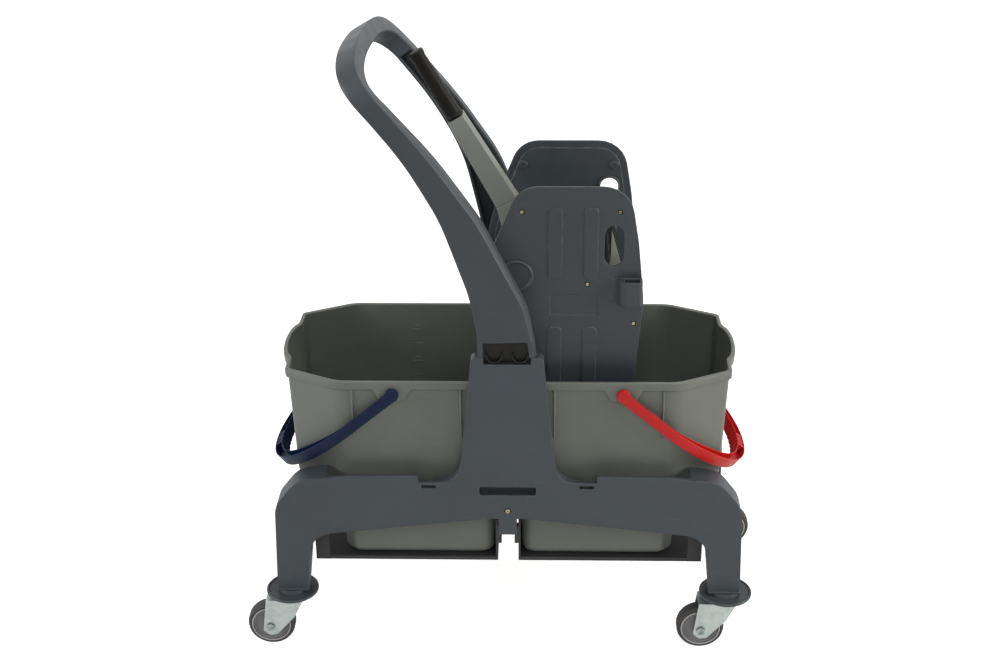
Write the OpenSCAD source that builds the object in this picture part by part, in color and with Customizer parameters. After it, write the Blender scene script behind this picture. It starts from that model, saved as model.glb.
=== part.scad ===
// Double mop bucket trolley: two buckets on a caster chassis with a push handle
// and a lever wringer on the right bucket. Millimetres, X along the trolley,
// Y across it with the front at minus Y, Z up from the floor.

/* [Casters] */
// diameter of a wheel
wheel_d = 75; // [70:1:90]
// width of a tyre
wheel_w = 24; // [20:1:26]
// distance from the swivel axis back to the wheel axle
caster_trail = 37; // [32:1:42]
// distance of a swivel axis from the middle plane, across the trolley
swivel_y = 146; // [140:1:160]
// radius of the bumper disc above a caster
bumper_r = 41; // [34:1:46]
// radius of the wheel axle
axle_r = 4; // [3:0.5:5]
// radius of the swivel stem
stem_r = 6; // [5:0.5:7]

/* [Side frames] */
// thickness of the moulded panels and flanges
panel_t = 4; // [3:0.5:5]
// height of the beam where it meets the legs
beam_h = 104; // [90:1:112]
// half width of the upright at its top
upright_half = 53; // [48:1:58]
// width of the slot in the upright
slot_w = 86; // [60:1:96]
// height of the slot in the upright
slot_h = 15; // [10:1:20]
// half width of a leg at its foot
foot_half = 24.2; // [20:0.2:26]

/* [Push handle] */
// wall thickness of the handle legs
handle_t = 4; // [3:0.5:5]
// depth of the handle legs across the trolley
handle_depth = 26; // [22:1:30]
// thickness of the grip bow at its middle
grip_bow_d = 31; // [26:1:34]
// rise of the bow above the handle legs
bow_rise = 59; // [50:1:70]
// how far each leg stands out of square at the bow
handle_turn = 10.5; // [0:0.5:14]

/* [Buckets] */
// length of one bucket over its rim
bucket_l = 332; // [315:1:365]
// height of a bucket
bucket_h = 313; // [290:1:330]
// wall thickness of a bucket
bucket_t = 2.5; // [2:0.1:3.5]
// how far the rim stands out over the wall
rim_lip = 7; // [6:0.5:10]
// how far the pouring spout bulges at the rim
spout_out = 13.5; // [8:0.5:18]
// room along a bail between the bucket's end wall and the bail's shoulders
bail_gap = 26.5; // [26:0.5:34]
// width of the bail strip
bail_w = 19; // [15:0.5:22]
// radius of a bail stud
stud_r = 4; // [3:0.5:5]

/* [Wringer] */
// wall thickness of the side plates
plate_t = 3; // [2:0.5:4]
// depth of the bosses inside a side plate
plate_depth = 8; // [7:0.5:10]
// radius of the lever pivot shaft
shaft_r = 8; // [6:0.5:9]
// radius of the crank rollers
roller_r = 9; // [7:0.5:10]
// thickness of the press jaw
jaw_t = 12; // [8:0.5:13]
// diameter of the lever grip at its sleeve
grip_d = 27; // [24:1:32]
// length of the lever grip
grip_l = 113; // [90:1:120]
// length of the grey lever sleeve
sleeve_l = 149; // [130:1:160]
// clearance of a running fit on the radius
fit = 0.05; // [0.02:0.01:0.1]

/* [Hidden] */
gap = 0.4;
lift = wheel_d - 75;
rise = lift + bucket_h - 313;
foot_z = 107;
mid_z = foot_z + 253 - beam_h;
floor_z = 154;
rim_z = floor_z + 0.3 + bucket_h;
rim_at = rim_z + lift - rise;
swivel_x = bucket_l + 10;
post_x = swivel_x - 50;
frame_y = swivel_y + 16;
rim_y = frame_y - 20.3;
wall_y = rim_y - rim_lip;
bucket_x0 = 6;
bucket_x1 = bucket_x0 + bucket_l;
bail_x = bucket_x0 + bucket_l / 2 + 0.5;
bail_z = rim_z - 20.3;
bail_y = rim_y + 0.3;
bail_out = rim_y + 7;
bail_tilt = 40;
bail_reach = ((bucket_x1 - rim_lip - 6.5 - bail_x) / cos(bail_tilt) + bail_gap) / 0.868;
plate_y = rim_y - 38.7;
inner_y = plate_y - plate_depth;
pivot = [13, 624];
up = pivot[1] - 624;
hinge = [92, 440];
crank_l = 58;
crank_a = 238;
lever_a = 120;
lever_off = 26;
hub_l = 76;
roller_at = pivot + crank_l * [cos(crank_a), sin(crank_a)];
jaw_l = norm(roller_at - hinge) + 4.2;
roller_gap = roller_r + gap + jaw_t / 2;
jaw_lean = atan2(hinge[0] - roller_at[0], roller_at[1] - hinge[1])
    - asin(roller_gap / norm(roller_at - hinge));
dark = [0.27, 0.3, 0.33];
grey = [0.46, 0.46, 0.43];
black = [0.15, 0.15, 0.14];
zinc = [0.72, 0.75, 0.75];
brass = [0.71, 0.6, 0.45];
$fn = 48;

function unit(v) = v / norm(v);
function mix(a, b, t) = a + (b - a) * t;
function ease(t) = let (c = min(max(t, 0), 1)) c * c * (3 - 2 * c);
function at(p, i) = p[(i + len(p)) % len(p)];
function xy(p) = [p[0], p[1]];

// arc that rounds the corner c between its neighbours p and q
function corner(p, c, q, r, n) =
    let (u = unit(p - c), v = unit(q - c), h = acos(u * v) / 2)
    let (m = c + unit(u + v) * r / sin(h), s = c + u * r / tan(h), e = c + v * r / tan(h))
    let (a = atan2(s[1] - m[1], s[0] - m[0]), b = atan2(e[1] - m[1], e[0] - m[0]))
    let (d = b - a > 180 ? b - a - 360 : b - a < -180 ? b - a + 360 : b - a)
    [for (k = [0 : n]) m + r * [cos(a + d * k / n), sin(a + d * k / n)]];

// outline of [x, y, radius] corners, each rounded with n steps
function outline(p, n = 6) = [for (i = [0 : len(p) - 1]) let (r = p[i][2])
    each r > 0.01 ? corner(xy(at(p, i - 1)), xy(p[i]), xy(at(p, i + 1)), r, n) : [xy(p[i])]];

// the same corners moved inwards by t, for a counterclockwise outline
function inset(p, t) = [for (i = [0 : len(p) - 1])
    let (c = xy(p[i]), a = unit(c - xy(at(p, i - 1))), b = unit(xy(at(p, i + 1)) - c))
    let (m = [-a[1], a[0]], n = [-b[1], b[0]], w = c + (m + n) * t / (1 + m * n))
    let (turn = a[0] * b[1] - a[1] * b[0])
    [w[0], w[1], p[i][2] <= 0.01 ? 0 : turn > 0 ? max(p[i][2] - t, 0.3) : p[i][2] + t]];

// triangles of a closed skin over m rings of n points; cap lists the faces of one flat end
function skin(m, n, cap) = concat(cap,
    [for (i = [0 : m - 2], j = [0 : n - 1]) each
        let (a = i * n + j, b = i * n + (j + 1) % n) [[a, a + n, b + n], [a, b + n, b]]],
    [for (f = cap) [for (j = [len(f) - 1 : -1 : 0]) (m - 1) * n + f[j]]]);

module loft(rings, cap = []) {
    n = len(rings[0]);
    ends = len(cap) > 0 ? cap : [[for (j = [0 : n - 1]) j]];
    polyhedron([for (r = rings) each r], skin(len(rings), n, ends), convexity = 8);
}

// stands a drawing of X and Z up between two values of Y
module upright(y0, y1) {
    translate([0, y1, 0]) rotate([90, 0, 0]) linear_extrude(y1 - y0, convexity = 8) children();
}

module rod(x, z, r, y0, y1) {
    translate([x, y0, z]) rotate([-90, 0, 0]) cylinder(r = r, h = y1 - y0);
}

module box(a, b) {
    translate(a) cube(b - a);
}

module rear() {
    mirror([0, 1, 0]) children();
}

module left() {
    mirror([1, 0, 0]) children();
}

// side frame

function frame_half() = let (x = swivel_x) [
    [x - 3.2 - foot_half, foot_z, 3], [x - 3.2 + foot_half, foot_z, 2],
    [x + 15.5, foot_z + 155, 45], [x - 20, foot_z + 201, 45], [x - 102, foot_z + 209.5, 120],
    [136, foot_z + 210.5, 1],
    [136, foot_z + 199, 1], [74, foot_z + 199, 34], [upright_half, rim_z + 51, 6]];
function frame_corners() = let (x = swivel_x) concat(
    [[30, foot_z + 239.5 - beam_h, 80], [x - 37.4, foot_z + 207 - beam_h, 38]],
    frame_half(),
    [for (i = [len(frame_half()) - 1 : -1 : 0]) let (q = frame_half()[i]) [-q[0], q[1], q[2]]],
    [[37.4 - x, foot_z + 207 - beam_h, 38], [-30, foot_z + 239.5 - beam_h, 80]]);

module frame_depth() {
    x = swivel_x;
    box([65 - x, -frame_y + 28, foot_z + 130], [x - 65, 0, foot_z + 250]);
    for (s = [-1, 1]) box([s > 0 ? 111 : 65 - x, -frame_y + 7, foot_z + 188],
        [s > 0 ? x - 65 : -111, 0, foot_z + 250]);
    box([36 - x, -frame_y + 28, 0], [x - 36, 0, foot_z + 140]);
    box([-112, -frame_y + 17, foot_z + 193], [112, 0, rim_z + 90]);
    translate([-x - 60, 0, 0]) rotate([90, 0, 90]) linear_extrude(2 * x + 120)
        polygon([[0, 0], [29 - frame_y, 0], [29 - frame_y, foot_z], [41 - frame_y, foot_z + 83],
            [41 - frame_y, foot_z + 260], [0, foot_z + 260]]);
}

module side_frame() {
    translate([0, 0, lift]) difference() {
        union() {
            difference() {
                upright(-frame_y, -frame_y + 60) difference() {
                    polygon(outline(frame_corners()));
                    polygon(outline(inset(frame_corners(), panel_t)));
                }
                frame_depth();
            }
            upright(-frame_y, -frame_y + panel_t) polygon(outline(frame_corners()));
            upright(-frame_y, -frame_y + 14) polygon(outline([[-14, foot_z + 107, 2],
                [14, foot_z + 107, 2], [14, mid_z - 7, 2], [-14, mid_z - 7, 2]]));
            for (s = [-1, 1]) {
                translate([s * swivel_x, -swivel_y, foot_z]) cylinder(r = stem_r + 5, h = 44);
                box([s * (swivel_x - 3.2) - foot_half + 1, -frame_y + 1, foot_z],
                    [s * (swivel_x - 3.2) + foot_half - 1, -frame_y + 29, foot_z + 6]);
                rod(s * post_x, foot_z + 150, 6, -frame_y + 1, -frame_y + 28);
                box([s * 60 - 2, -frame_y + 1, mid_z - 9], [s * 60 + 2, -frame_y + 16, foot_z + 240]);
                box([s * 200 - 2, -frame_y + 1, mid_z - 28], [s * 200 + 2, -frame_y + 27, foot_z + 184]);
            }
        }
        upright(-frame_y - 1, -frame_y + panel_t + 1) polygon(outline([
            [-slot_w / 2, foot_z + 177, 3], [slot_w / 2, foot_z + 177, 3],
            [slot_w / 2, foot_z + 177 + slot_h, 3], [-slot_w / 2, foot_z + 177 + slot_h, 3]]));
        upright(-frame_y - 1, -frame_y + 30)
            polygon([[-35, rim_z + 40], [35, rim_z + 40], [35, rim_z + 60], [-35, rim_z + 60]]);
        upright(-frame_y + panel_t, -frame_y + 30)
            polygon([[-45, rim_z + 40], [41, rim_z + 40], [41, rim_z + 60], [-45, rim_z + 60]]);
        for (s = [-1, 1]) {
            upright(-frame_y - 1, -frame_y + panel_t + 1)
                polygon([[s * 120 - 11, foot_z + 189], [s * 120 + 11, foot_z + 189],
                    [s * 120 + 11, foot_z + 194.5], [s * 120 - 11, foot_z + 194.5]]);
            translate([s * swivel_x, -swivel_y, foot_z - 1]) cylinder(r = stem_r, h = 60);
            rod(s * post_x, foot_z + 150, 1.9, -frame_y + 8, -frame_y + 30);
        }
        rod(0, mid_z, 2.5, -frame_y - 1, -frame_y + panel_t + 1);
        rod(0, mid_z, 5.5, -frame_y - 1, -frame_y + 1.8);
    }
}

module side_frame_front() color(dark) side_frame();
module side_frame_rear() color(dark) rear() side_frame();

// trays and centre bridge

module tray() {
    translate([0, 0, lift]) {
        difference() {
            union() {
                box([16, 8 - rim_y, floor_z - 6], [swivel_x - 39, rim_y - 8, floor_z]);
                box([16, 8 - rim_y, floor_z - 6], [19.4, rim_y - 8, floor_z + 42]);
            }
            for (i = [0 : 4], j = [-1 : 1])
                translate([66 + i * 44, j * 74, floor_z - 7]) cylinder(r = 12, h = 8);
        }
        for (s = [-1, 1]) {
            difference() {
                box([post_x - 11, s > 0 ? frame_y - 33 : 28 - frame_y, floor_z - 6],
                    [post_x + 11, s > 0 ? frame_y - 28 : 33 - frame_y, floor_z + 146]);
                rod(post_x, foot_z + 150, 1.9, s * (frame_y - 31) - 6, s * (frame_y - 31) + 6);
            }
            box([10, s > 0 ? frame_y - 34 : 22 - frame_y, floor_z + 30],
                [16, s > 0 ? frame_y - 22 : 34 - frame_y, foot_z + 107]);
            box([16, s > 0 ? frame_y - 34 : 22 - frame_y, floor_z + 30],
                [19.4, s > 0 ? frame_y - 22 : 34 - frame_y, foot_z + 120]);
        }
    }
}

module tray_left() color(black) left() tray();
module tray_right() color(black) tray();

module centre_bridge() color(dark) translate([0, 0, lift]) difference() {
    union() {
        box([-9, panel_t - frame_y, mid_z - 6], [9, frame_y - panel_t, mid_z - 2]);
        box([-2, panel_t - frame_y, mid_z - 6], [2, frame_y - panel_t, mid_z + 23]);
        for (s = [-1, 1]) rod(0, mid_z, 6, s > 0 ? frame_y - panel_t - 22 : panel_t - frame_y,
            s > 0 ? frame_y - panel_t : panel_t + 22 - frame_y);
    }
    for (s = [-1, 1]) rod(0, mid_z, 2, s > 0 ? frame_y - panel_t - 16 : -1 - frame_y,
        s > 0 ? frame_y + 1 : panel_t + 16 - frame_y);
}

module pan_screw(r, l) {
    rotate_extrude() polygon([[0, -l], [r * 0.6, -l + r * 0.6], [r * 0.6, 0], [r * 1.5, 0],
        [r * 1.5, r * 0.3], [r * 1.1, r * 0.75], [0, r * 0.9]]);
}

module cross_recess(r) {
    for (a = [0, 90]) rotate([0, 0, a]) translate([-r, -r * 0.2, 0]) cube([2 * r, r * 0.4, 10]);
}

// a screw pushed in along plus Y, its head seated at the given face
module screw_at(x, y, z, r, l) {
    translate([x, y, z]) rotate([90, 0, 0]) difference() {
        pan_screw(r, l);
        translate([0, 0, r * 0.35]) cross_recess(r * 0.8);
    }
}

module frame_screws() color(brass) translate([0, 0, lift]) {
    screw_at(0, 1.8 - frame_y, mid_z, 3.2, 16);
    rear() screw_at(0, 1.8 - frame_y, mid_z, 3.2, 16);
}

module tray_screws() color(zinc) translate([0, 0, lift]) for (s = [-1, 1]) {
    screw_at(s * post_x, frame_y - 33, foot_z + 150, 3.1, 20);
    rear() screw_at(s * post_x, frame_y - 33, foot_z + 150, 3.1, 20);
}

// push handle

function turn(z) = handle_turn * ease((z - 520) / 240);
// up the right hand edge of a leg and back down its left one; s is minus 1 for the front leg
function leg_corners(s) = [for (p = [[36, 519, 0], [36, 546, 30], [-29, 728, 250], [-88.6, 818.3, 600],
    [-165, 905, 0], [-187, 887.5, 0], [-131, 816, 500], [-84, 731, 300], [-51, 617, 200],
    [-43.3, 556, 80], [-43, 519, 0]]) [p[0] + s * turn(p[1]), p[1], p[2]]];

bow_n = 2 / 2.55;
bow_a = [-176, 896.2];
bow_b = bow_a + 0.48 * bow_rise * [-0.623, 0.783];
bow_c = bow_a + bow_rise * [-0.748, 0.677];
function bow_xz(q) = (1 - q) * (1 - q) * bow_a + 2 * q * (1 - q) * bow_b + q * q * bow_c;
function bow_y() = frame_y - handle_depth / 2;
function power(v, e) = sign(v) * pow(abs(v), e);
// point of the bow at angle a, from minus 90 at the front leg to plus 90 at the rear one
function bow_point(a) = let (p = bow_xz(power(cos(a), bow_n)), y = power(sin(a), bow_n))
    [p[0] + handle_turn * y, bow_y() * y, p[1]];
function bow_ring(a) = let (d = 1.5, n = 24)
    let (t = unit(bow_point(min(a + d, 89.9)) - bow_point(max(a - d, -89.9))))
    let (q = power(cos(a), bow_n), s = unit(mix(bow_b - bow_a, bow_c - bow_b, q)))
    let (top = [s[1], 0, -s[0]], side = unit(cross(t, top)))
    let (h = mix(28, grip_bow_d, q) / 2, w = mix(handle_depth - 0.4, grip_bow_d - 2.5, ease(q * 1.3)) / 2)
    let (e = mix(0.12, 0.4, ease(q * 1.5)))
    [for (k = [0 : n - 1]) let (g = 360 * (k + 0.5) / n)
        bow_point(a) + top * h * power(cos(g), e) + side * w * power(sin(g), e)];

module handle_leg(s) {
    y = -frame_y;
    difference() {
        union() {
            upright(y, y + handle_depth) difference() {
                polygon(outline(leg_corners(s), 5));
                polygon(outline(inset(leg_corners(s), handle_t), 5));
            }
            upright(y, y + handle_t) polygon(outline(leg_corners(s), 5));
            upright(y + panel_t + 0.2, y + 15) polygon([[-40, 455], [40, 455], [40, 518.6], [36, 519],
                [35, 560], [-42, 560], [-43, 519], [-44, 518.6]]);
            box([-24, y + 1, 560], [-20, y + 20, 640]);
        }
        upright(y - 1, y + 9)
            polygon(outline([[-35, 515, 0], [35, 515, 0], [33, 543, 3], [-35, 543, 3]]));
        upright(y - 1, y + 9) polygon([[-35, rim_at + 39.7], [35, rim_at + 39.7],
            [35, 520], [-35, 520]]);
        upright(y + 10, y + 16) polygon([[-34, 450], [34, 450], [34, 545], [-34, 545]]);
    }
}

module push_handle() color(dark) translate([0, 0, rise]) {
    handle_leg(-1);
    rear() handle_leg(1);
    back = 12 * [0.623, 0, -0.783];
    loft(concat([[for (p = bow_ring(-88.5)) p + back]],
        [for (i = [0 : 48]) bow_ring(-88.5 + 177 * i / 48)], [[for (p = bow_ring(88.5)) p + back]]));
}

module latch() {
    y = -frame_y + 9;
    translate([0, 0, rise]) {
        upright(y - 1.2, y) polygon(outline([[-33, rim_at + 41, 2], [33, rim_at + 41, 2],
            [32, 541, 2], [-34, 541, 2]]));
        for (s = [-1, 1]) translate([s * 19, y - 1.2, 521]) rotate([90, 0, 0]) difference() {
            cylinder(r = 12, h = 6);
            translate([0, 0, -1]) cylinder(r = 10.2, h = 8);
            translate([-20, 2, -1]) cube([40, 20, 8]);
        }
    }
}

module handle_latch_front() color(black) latch();
module handle_latch_rear() color(black) rear() latch();

// casters: drawn with the swivel axis at the origin and the wheel trailing towards minus X

fork_z = wheel_d + 10.5;
fork_y = wheel_w / 2 + 3.5;

module caster_at(sx, sy) {
    translate([sx * swivel_x, sy * swivel_y, 0]) rotate([0, 0, sy > 0 ? 180 : 0]) children();
}

module bumper() {
    z = foot_z + lift;
    rotate_extrude($fn = 72) polygon([[stem_r, z - 9], [bumper_r - 2, z - 9], [bumper_r, z - 7.5],
        [bumper_r, z - 5], [bumper_r - 1, z - 4], [bumper_r - 3, z - 4], [bumper_r - 5, z - 5],
        [stem_r + 16, z - 5], [stem_r + 14, z], [stem_r, z]]);
}

module stem() {
    z = foot_z + lift;
    rotate_extrude() polygon([[0, fork_z - 6], [stem_r + 3.5, fork_z - 6], [stem_r + 3.5, fork_z - gap],
        [stem_r - fit, fork_z - gap], [stem_r - fit, fork_z + 8], [stem_r + 15, fork_z + 8],
        [stem_r + 15, fork_z + 9.5], [stem_r + 11, z - 9], [stem_r, z - 9], [stem_r, z + 40],
        [stem_r - 2, z + 43], [0, z + 43]]);
}

module fork() {
    c = -caster_trail;
    difference() {
        union() {
            for (s = [-1, 1]) upright(s > 0 ? fork_y : -fork_y - 2.5, s > 0 ? fork_y + 2.5 : -fork_y)
                polygon(outline([[16, fork_z, 1], [c - 5, fork_z, 3], [c - 12, wheel_d / 2 - 7, 5],
                    [c - 2, wheel_d / 2 - 16, 8], [c + 10, wheel_d / 2 - 14, 6], [2, wheel_d / 2 + 19, 6]]));
            box([c - 5, -fork_y - 2.5, fork_z - 1], [16, fork_y + 2.5, fork_z + 2]);
            cylinder(r = stem_r + 16, h = fork_z + 2);
            rotate_extrude() polygon([[0, fork_z + 1], [stem_r + 13, fork_z + 1], [stem_r + 11, fork_z + 6],
                [stem_r + 6, fork_z + 7.5], [0, fork_z + 7.5]]);
        }
        cylinder(r = stem_r + fit, h = 200);
        translate([0, 0, -1]) cylinder(r = stem_r + 30, h = fork_z);
        translate([0, 0, fork_z - 7]) cylinder(r = stem_r + 4, h = 7);
        for (s = [-1, 1]) box([-80, s > 0 ? fork_y + 2.5 : -60, fork_z - 3],
            [40, s > 0 ? 60 : -fork_y - 2.5, fork_z + 0.4]);
        rod(c, wheel_d / 2, axle_r, -40, 40);
    }
    for (s = [-1, 1]) difference() {
        upright(s > 0 ? fork_y : -fork_y - 2.5, s > 0 ? fork_y + 2.5 : -fork_y)
            polygon(outline([[16, fork_z, 1], [c - 5, fork_z, 3], [c - 12, wheel_d / 2 - 7, 5],
                [c - 2, wheel_d / 2 - 16, 8], [c + 10, wheel_d / 2 - 14, 6], [2, wheel_d / 2 + 19, 6]]));
        rod(c, wheel_d / 2, axle_r, -40, 40);
    }
}

module axle() {
    c = -caster_trail;
    rod(c, wheel_d / 2, axle_r, -fork_y - 4, fork_y + 6);
    rod(c, wheel_d / 2, axle_r + 2.6, -fork_y - 5.5, -fork_y - 2.5);
    translate([c, fork_y + 2.5, wheel_d / 2]) rotate([-90, 0, 0]) cylinder(r = axle_r + 3, h = 4, $fn = 6);
}

module wheel_hub() {
    w = wheel_w / 2;
    r = wheel_d / 2 - 9.5;
    translate([-caster_trail, 0, wheel_d / 2]) rotate([90, 0, 0]) rotate_extrude($fn = 72)
        polygon([[axle_r + fit, -w - 2], [axle_r + 5, -w - 2], [axle_r + 6, -5], [r - 6, -3.5],
            [r - 3, 1 - w], [r, 1 - w], [r, w - 1], [r - 3, w - 1],
            [r - 6, 3.5], [axle_r + 6, 5], [axle_r + 5, w + 2],
            [axle_r + fit, w + 2]]);
}

module tyre() {
    w = wheel_w / 2;
    r = wheel_d / 2;
    translate([-caster_trail, 0, r]) rotate([90, 0, 0]) rotate_extrude($fn = 72)
        polygon([[r - 9.5, 1 - w], [r - 8, -w], [r - 4, -w], [r - 1.2, 2.5 - w], [r, 6 - w], [r, w - 6],
            [r - 1.2, w - 2.5], [r - 4, w], [r - 8, w], [r - 9.5, w - 1]]);
}

module bumper_fl() color(dark) caster_at(-1, -1) bumper();
module bumper_fr() color(dark) caster_at(1, -1) bumper();
module bumper_rl() color(dark) caster_at(-1, 1) bumper();
module bumper_rr() color(dark) caster_at(1, 1) bumper();
module stem_fl() color(zinc) caster_at(-1, -1) stem();
module stem_fr() color(zinc) caster_at(1, -1) stem();
module stem_rl() color(zinc) caster_at(-1, 1) stem();
module stem_rr() color(zinc) caster_at(1, 1) stem();
module fork_fl() color(zinc) caster_at(-1, -1) fork();
module fork_fr() color(zinc) caster_at(1, -1) fork();
module fork_rl() color(zinc) caster_at(-1, 1) fork();
module fork_rr() color(zinc) caster_at(1, 1) fork();
module axle_fl() color(zinc) caster_at(-1, -1) axle();
module axle_fr() color(zinc) caster_at(1, -1) axle();
module axle_rl() color(zinc) caster_at(-1, 1) axle();
module axle_rr() color(zinc) caster_at(1, 1) axle();
module hub_fl() color(grey) caster_at(-1, -1) wheel_hub();
module hub_fr() color(grey) caster_at(1, -1) wheel_hub();
module hub_rl() color(grey) caster_at(-1, 1) wheel_hub();
module hub_rr() color(grey) caster_at(1, 1) wheel_hub();
module tyre_fl() color(black) caster_at(-1, -1) tyre();
module tyre_fr() color(black) caster_at(1, -1) tyre();
module tyre_rl() color(black) caster_at(-1, 1) tyre();
module tyre_rr() color(black) caster_at(1, 1) tyre();

// buckets

// ring of the bucket skin at height z, moved outwards by off; below its shoulder the end wall steps in,
// and lag lowers the inside of the shoulder so that the wall keeps its thickness
function bucket_ring(z, off, lag) =
    let (t = (z - floor_z) / bucket_h, g = ease((z - lag - floor_z - 94) / 38))
    let (x0 = mix(22, bucket_x0 + rim_lip, t) - off)
    let (x1 = mix(bucket_x1 - 82 + 18 * t, bucket_x1 - rim_lip - 13 * (1 - t), g) + off)
    let (w = mix(wall_y - 9, wall_y, t) + off, cx = mix(16, 79, g), cy = mix(15, 40, g), r = mix(18, 28, t))
    let (b = spout_out * ease((z - floor_z - 190) / (bucket_h - 190)))
    let (p = [[x0, -w], [x1 - cx, -w], [x1, cy - w], [x1, w - cy], [x1 - cx, w], [x0, w]])
    concat(corner(p[5], p[0], p[1], r, 4), corner(p[0], p[1], p[2], 12, 3), corner(p[1], p[2], p[3], 10, 3),
        [for (k = [-6 : 6]) [x1 + b * cos(14 * k), (57 + off) * sin(14 * k)]],
        corner(p[2], p[3], p[4], 10, 3), corner(p[3], p[4], p[5], 12, 3), corner(p[4], p[5], p[0], r, 4));
function bucket_rings() = let (z = floor_z + 0.3, h = rim_z, t = bucket_t) concat(
    [[z, -12, 0], [z + 3, -4.5, 0], [z + 11, 0, 0]],
    [for (d = [94, 104, 113, 122, 132, 190, 215, 240, 268]) [z + d, 0, 0]],
    [[h - 2.5, 0, 0], [h - 2.5, rim_lip - t, 0], [h - 13, rim_lip - t, 0], [h - 13, rim_lip, 0],
        [h - 1.5, rim_lip, 0], [h, rim_lip - 1.5, 0], [h, 1 - t, 0], [h - 1.5, -t, 0]],
    [for (d = [268, 240, 215, 190, 134, 124, 115, 106, 96]) [z + d, -t, 2.2]],
    [[z + 13, -t, 0], [z + 6, -4.5 - t, 0], [z + 3.2, -13, 0]]);
function bail_boss() = [[bail_x - 18.5, bail_z - 11, 2], [bail_x + 18.5, bail_z - 11, 2],
    [bail_x + 28.5, bail_z + 8, 2], [bail_x + 28.5, rim_z - 1.5, 1], [bail_x - 28.5, rim_z - 1.5, 1],
    [bail_x - 28.5, bail_z + 8, 2]];

module bucket() {
    translate([0, 0, lift]) {
        difference() {
            union() {
                loft([for (q = bucket_rings()) [for (p = bucket_ring(q[0], q[1], q[2])) [p[0], p[1], q[0]]]]);
                for (s = [-1, 1]) {
                    upright(s > 0 ? wall_y - 1 : -bail_y, s > 0 ? bail_y : 1 - wall_y)
                        polygon(outline(bail_boss(), 3));
                    for (x = [70, 233]) translate([x - 1.6, 0, 0]) rotate([90, 0, 90]) linear_extrude(3.2)
                        polygon([[s * (wall_y - 4), rim_z - 99], [s * (wall_y + 4), rim_z - 12],
                            [s * (wall_y - 1.5), rim_z - 12]]);
                }
            }
            rod(bail_x, bail_z, stud_r + fit, -bail_y - 2, -wall_y - bucket_t);
            rod(bail_x, bail_z, stud_r + fit, wall_y + bucket_t, bail_y + 2);
        }
    }
}

module bucket_left() color(grey) left() bucket();
module bucket_right() color(grey) bucket();

// bails: in the bail's own plane, u runs from the pivot to the grip

bail_n = 2 / 2.12;
function bail_plane(a) =
    [bail_reach * (0.34 + 0.66 * power(cos(a), bail_n)), bail_out * power(sin(a), bail_n)];
function bail_path() = concat([for (u = [0 : 2]) [u * 0.11 * bail_reach, -bail_out]],
    [for (i = [0 : 30]) bail_plane(-90 + 6 * i)], [for (u = [2 : -1 : 0]) [u * 0.11 * bail_reach, bail_out]]);
// channel section, open upwards: across the strip, then inwards from its outer face
function bail_section(u) = let (w = bail_w / 2, t = mix(6, 14, ease((u / bail_reach - 0.34) / 0.36)))
    [[-w, 0], [-w, t], [w, t], [w, t - 2.1], [-2, t - 2.1], [-2, 2.1], [w, 2.1], [w, 0]];
function bail_ring(i) = let (p = bail_path(), m = len(p) - 1, c = cos(bail_tilt), s = sin(bail_tilt))
    let (t = unit(p[min(i + 1, m)] - p[max(i - 1, 0)]), n = [-t[1], t[0]])
    [for (q = bail_section(p[i][0])) let (u = p[i] + n * q[1])
        [bail_x + u[0] * c + q[0] * s, u[1], bail_z - u[0] * s + q[0] * c]];

module bail() {
    translate([0, 0, lift]) {
        loft([for (i = [0 : len(bail_path()) - 1]) bail_ring(i)], [[0, 1, 4, 5], [1, 2, 3, 4], [0, 5, 6, 7]]);
        for (s = [-1, 1]) {
            rod(bail_x, bail_z, bail_w / 2 + 0.6, s > 0 ? bail_y + 0.4 : -bail_out - 0.3,
                s > 0 ? bail_out + 0.3 : -bail_y - 0.4);
            rod(bail_x, bail_z, stud_r, s > 0 ? wall_y + bucket_t + 0.5 : -bail_y - 1,
                s > 0 ? bail_y + 1 : -wall_y - bucket_t - 0.5);
        }
    }
}

module bail_left() color([0.12, 0.18, 0.35]) left() bail();
module bail_right() color([0.82, 0.16, 0.12]) bail();

// wringer

function plate_corners() = [[22, 412, 10], [172, 412, 24], [190, 452, 60], [200, 585 + up, 120],
    [190.5, 676 + up, 80], [176, 761.5 + up, 46], [17, 761.5 + up, 42], [-18, 676 + up, 60],
    [-34, 612 + up, 30], [-33, 566 + up, 24], [22, 492 + up, 24]];
screw_spots = [[21, 723 + up], [162, 723 + up], [117, 610 + up], [186, 547 + up]];
function pad(x, z0, z1) = [[x - 10, z0, 6], [x + 10, z0, 6], [x + 10, z1, 6], [x - 10, z1, 6]];
function window(m) = [[141 - m, 638 + up - m, 13.9 + m], [169 + m, 638 + up - m, 13.9 + m],
    [169 + m, 702.5 + up + m, 13.9 + m], [141 - m, 702.5 + up + m, 13.9 + m]];

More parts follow.
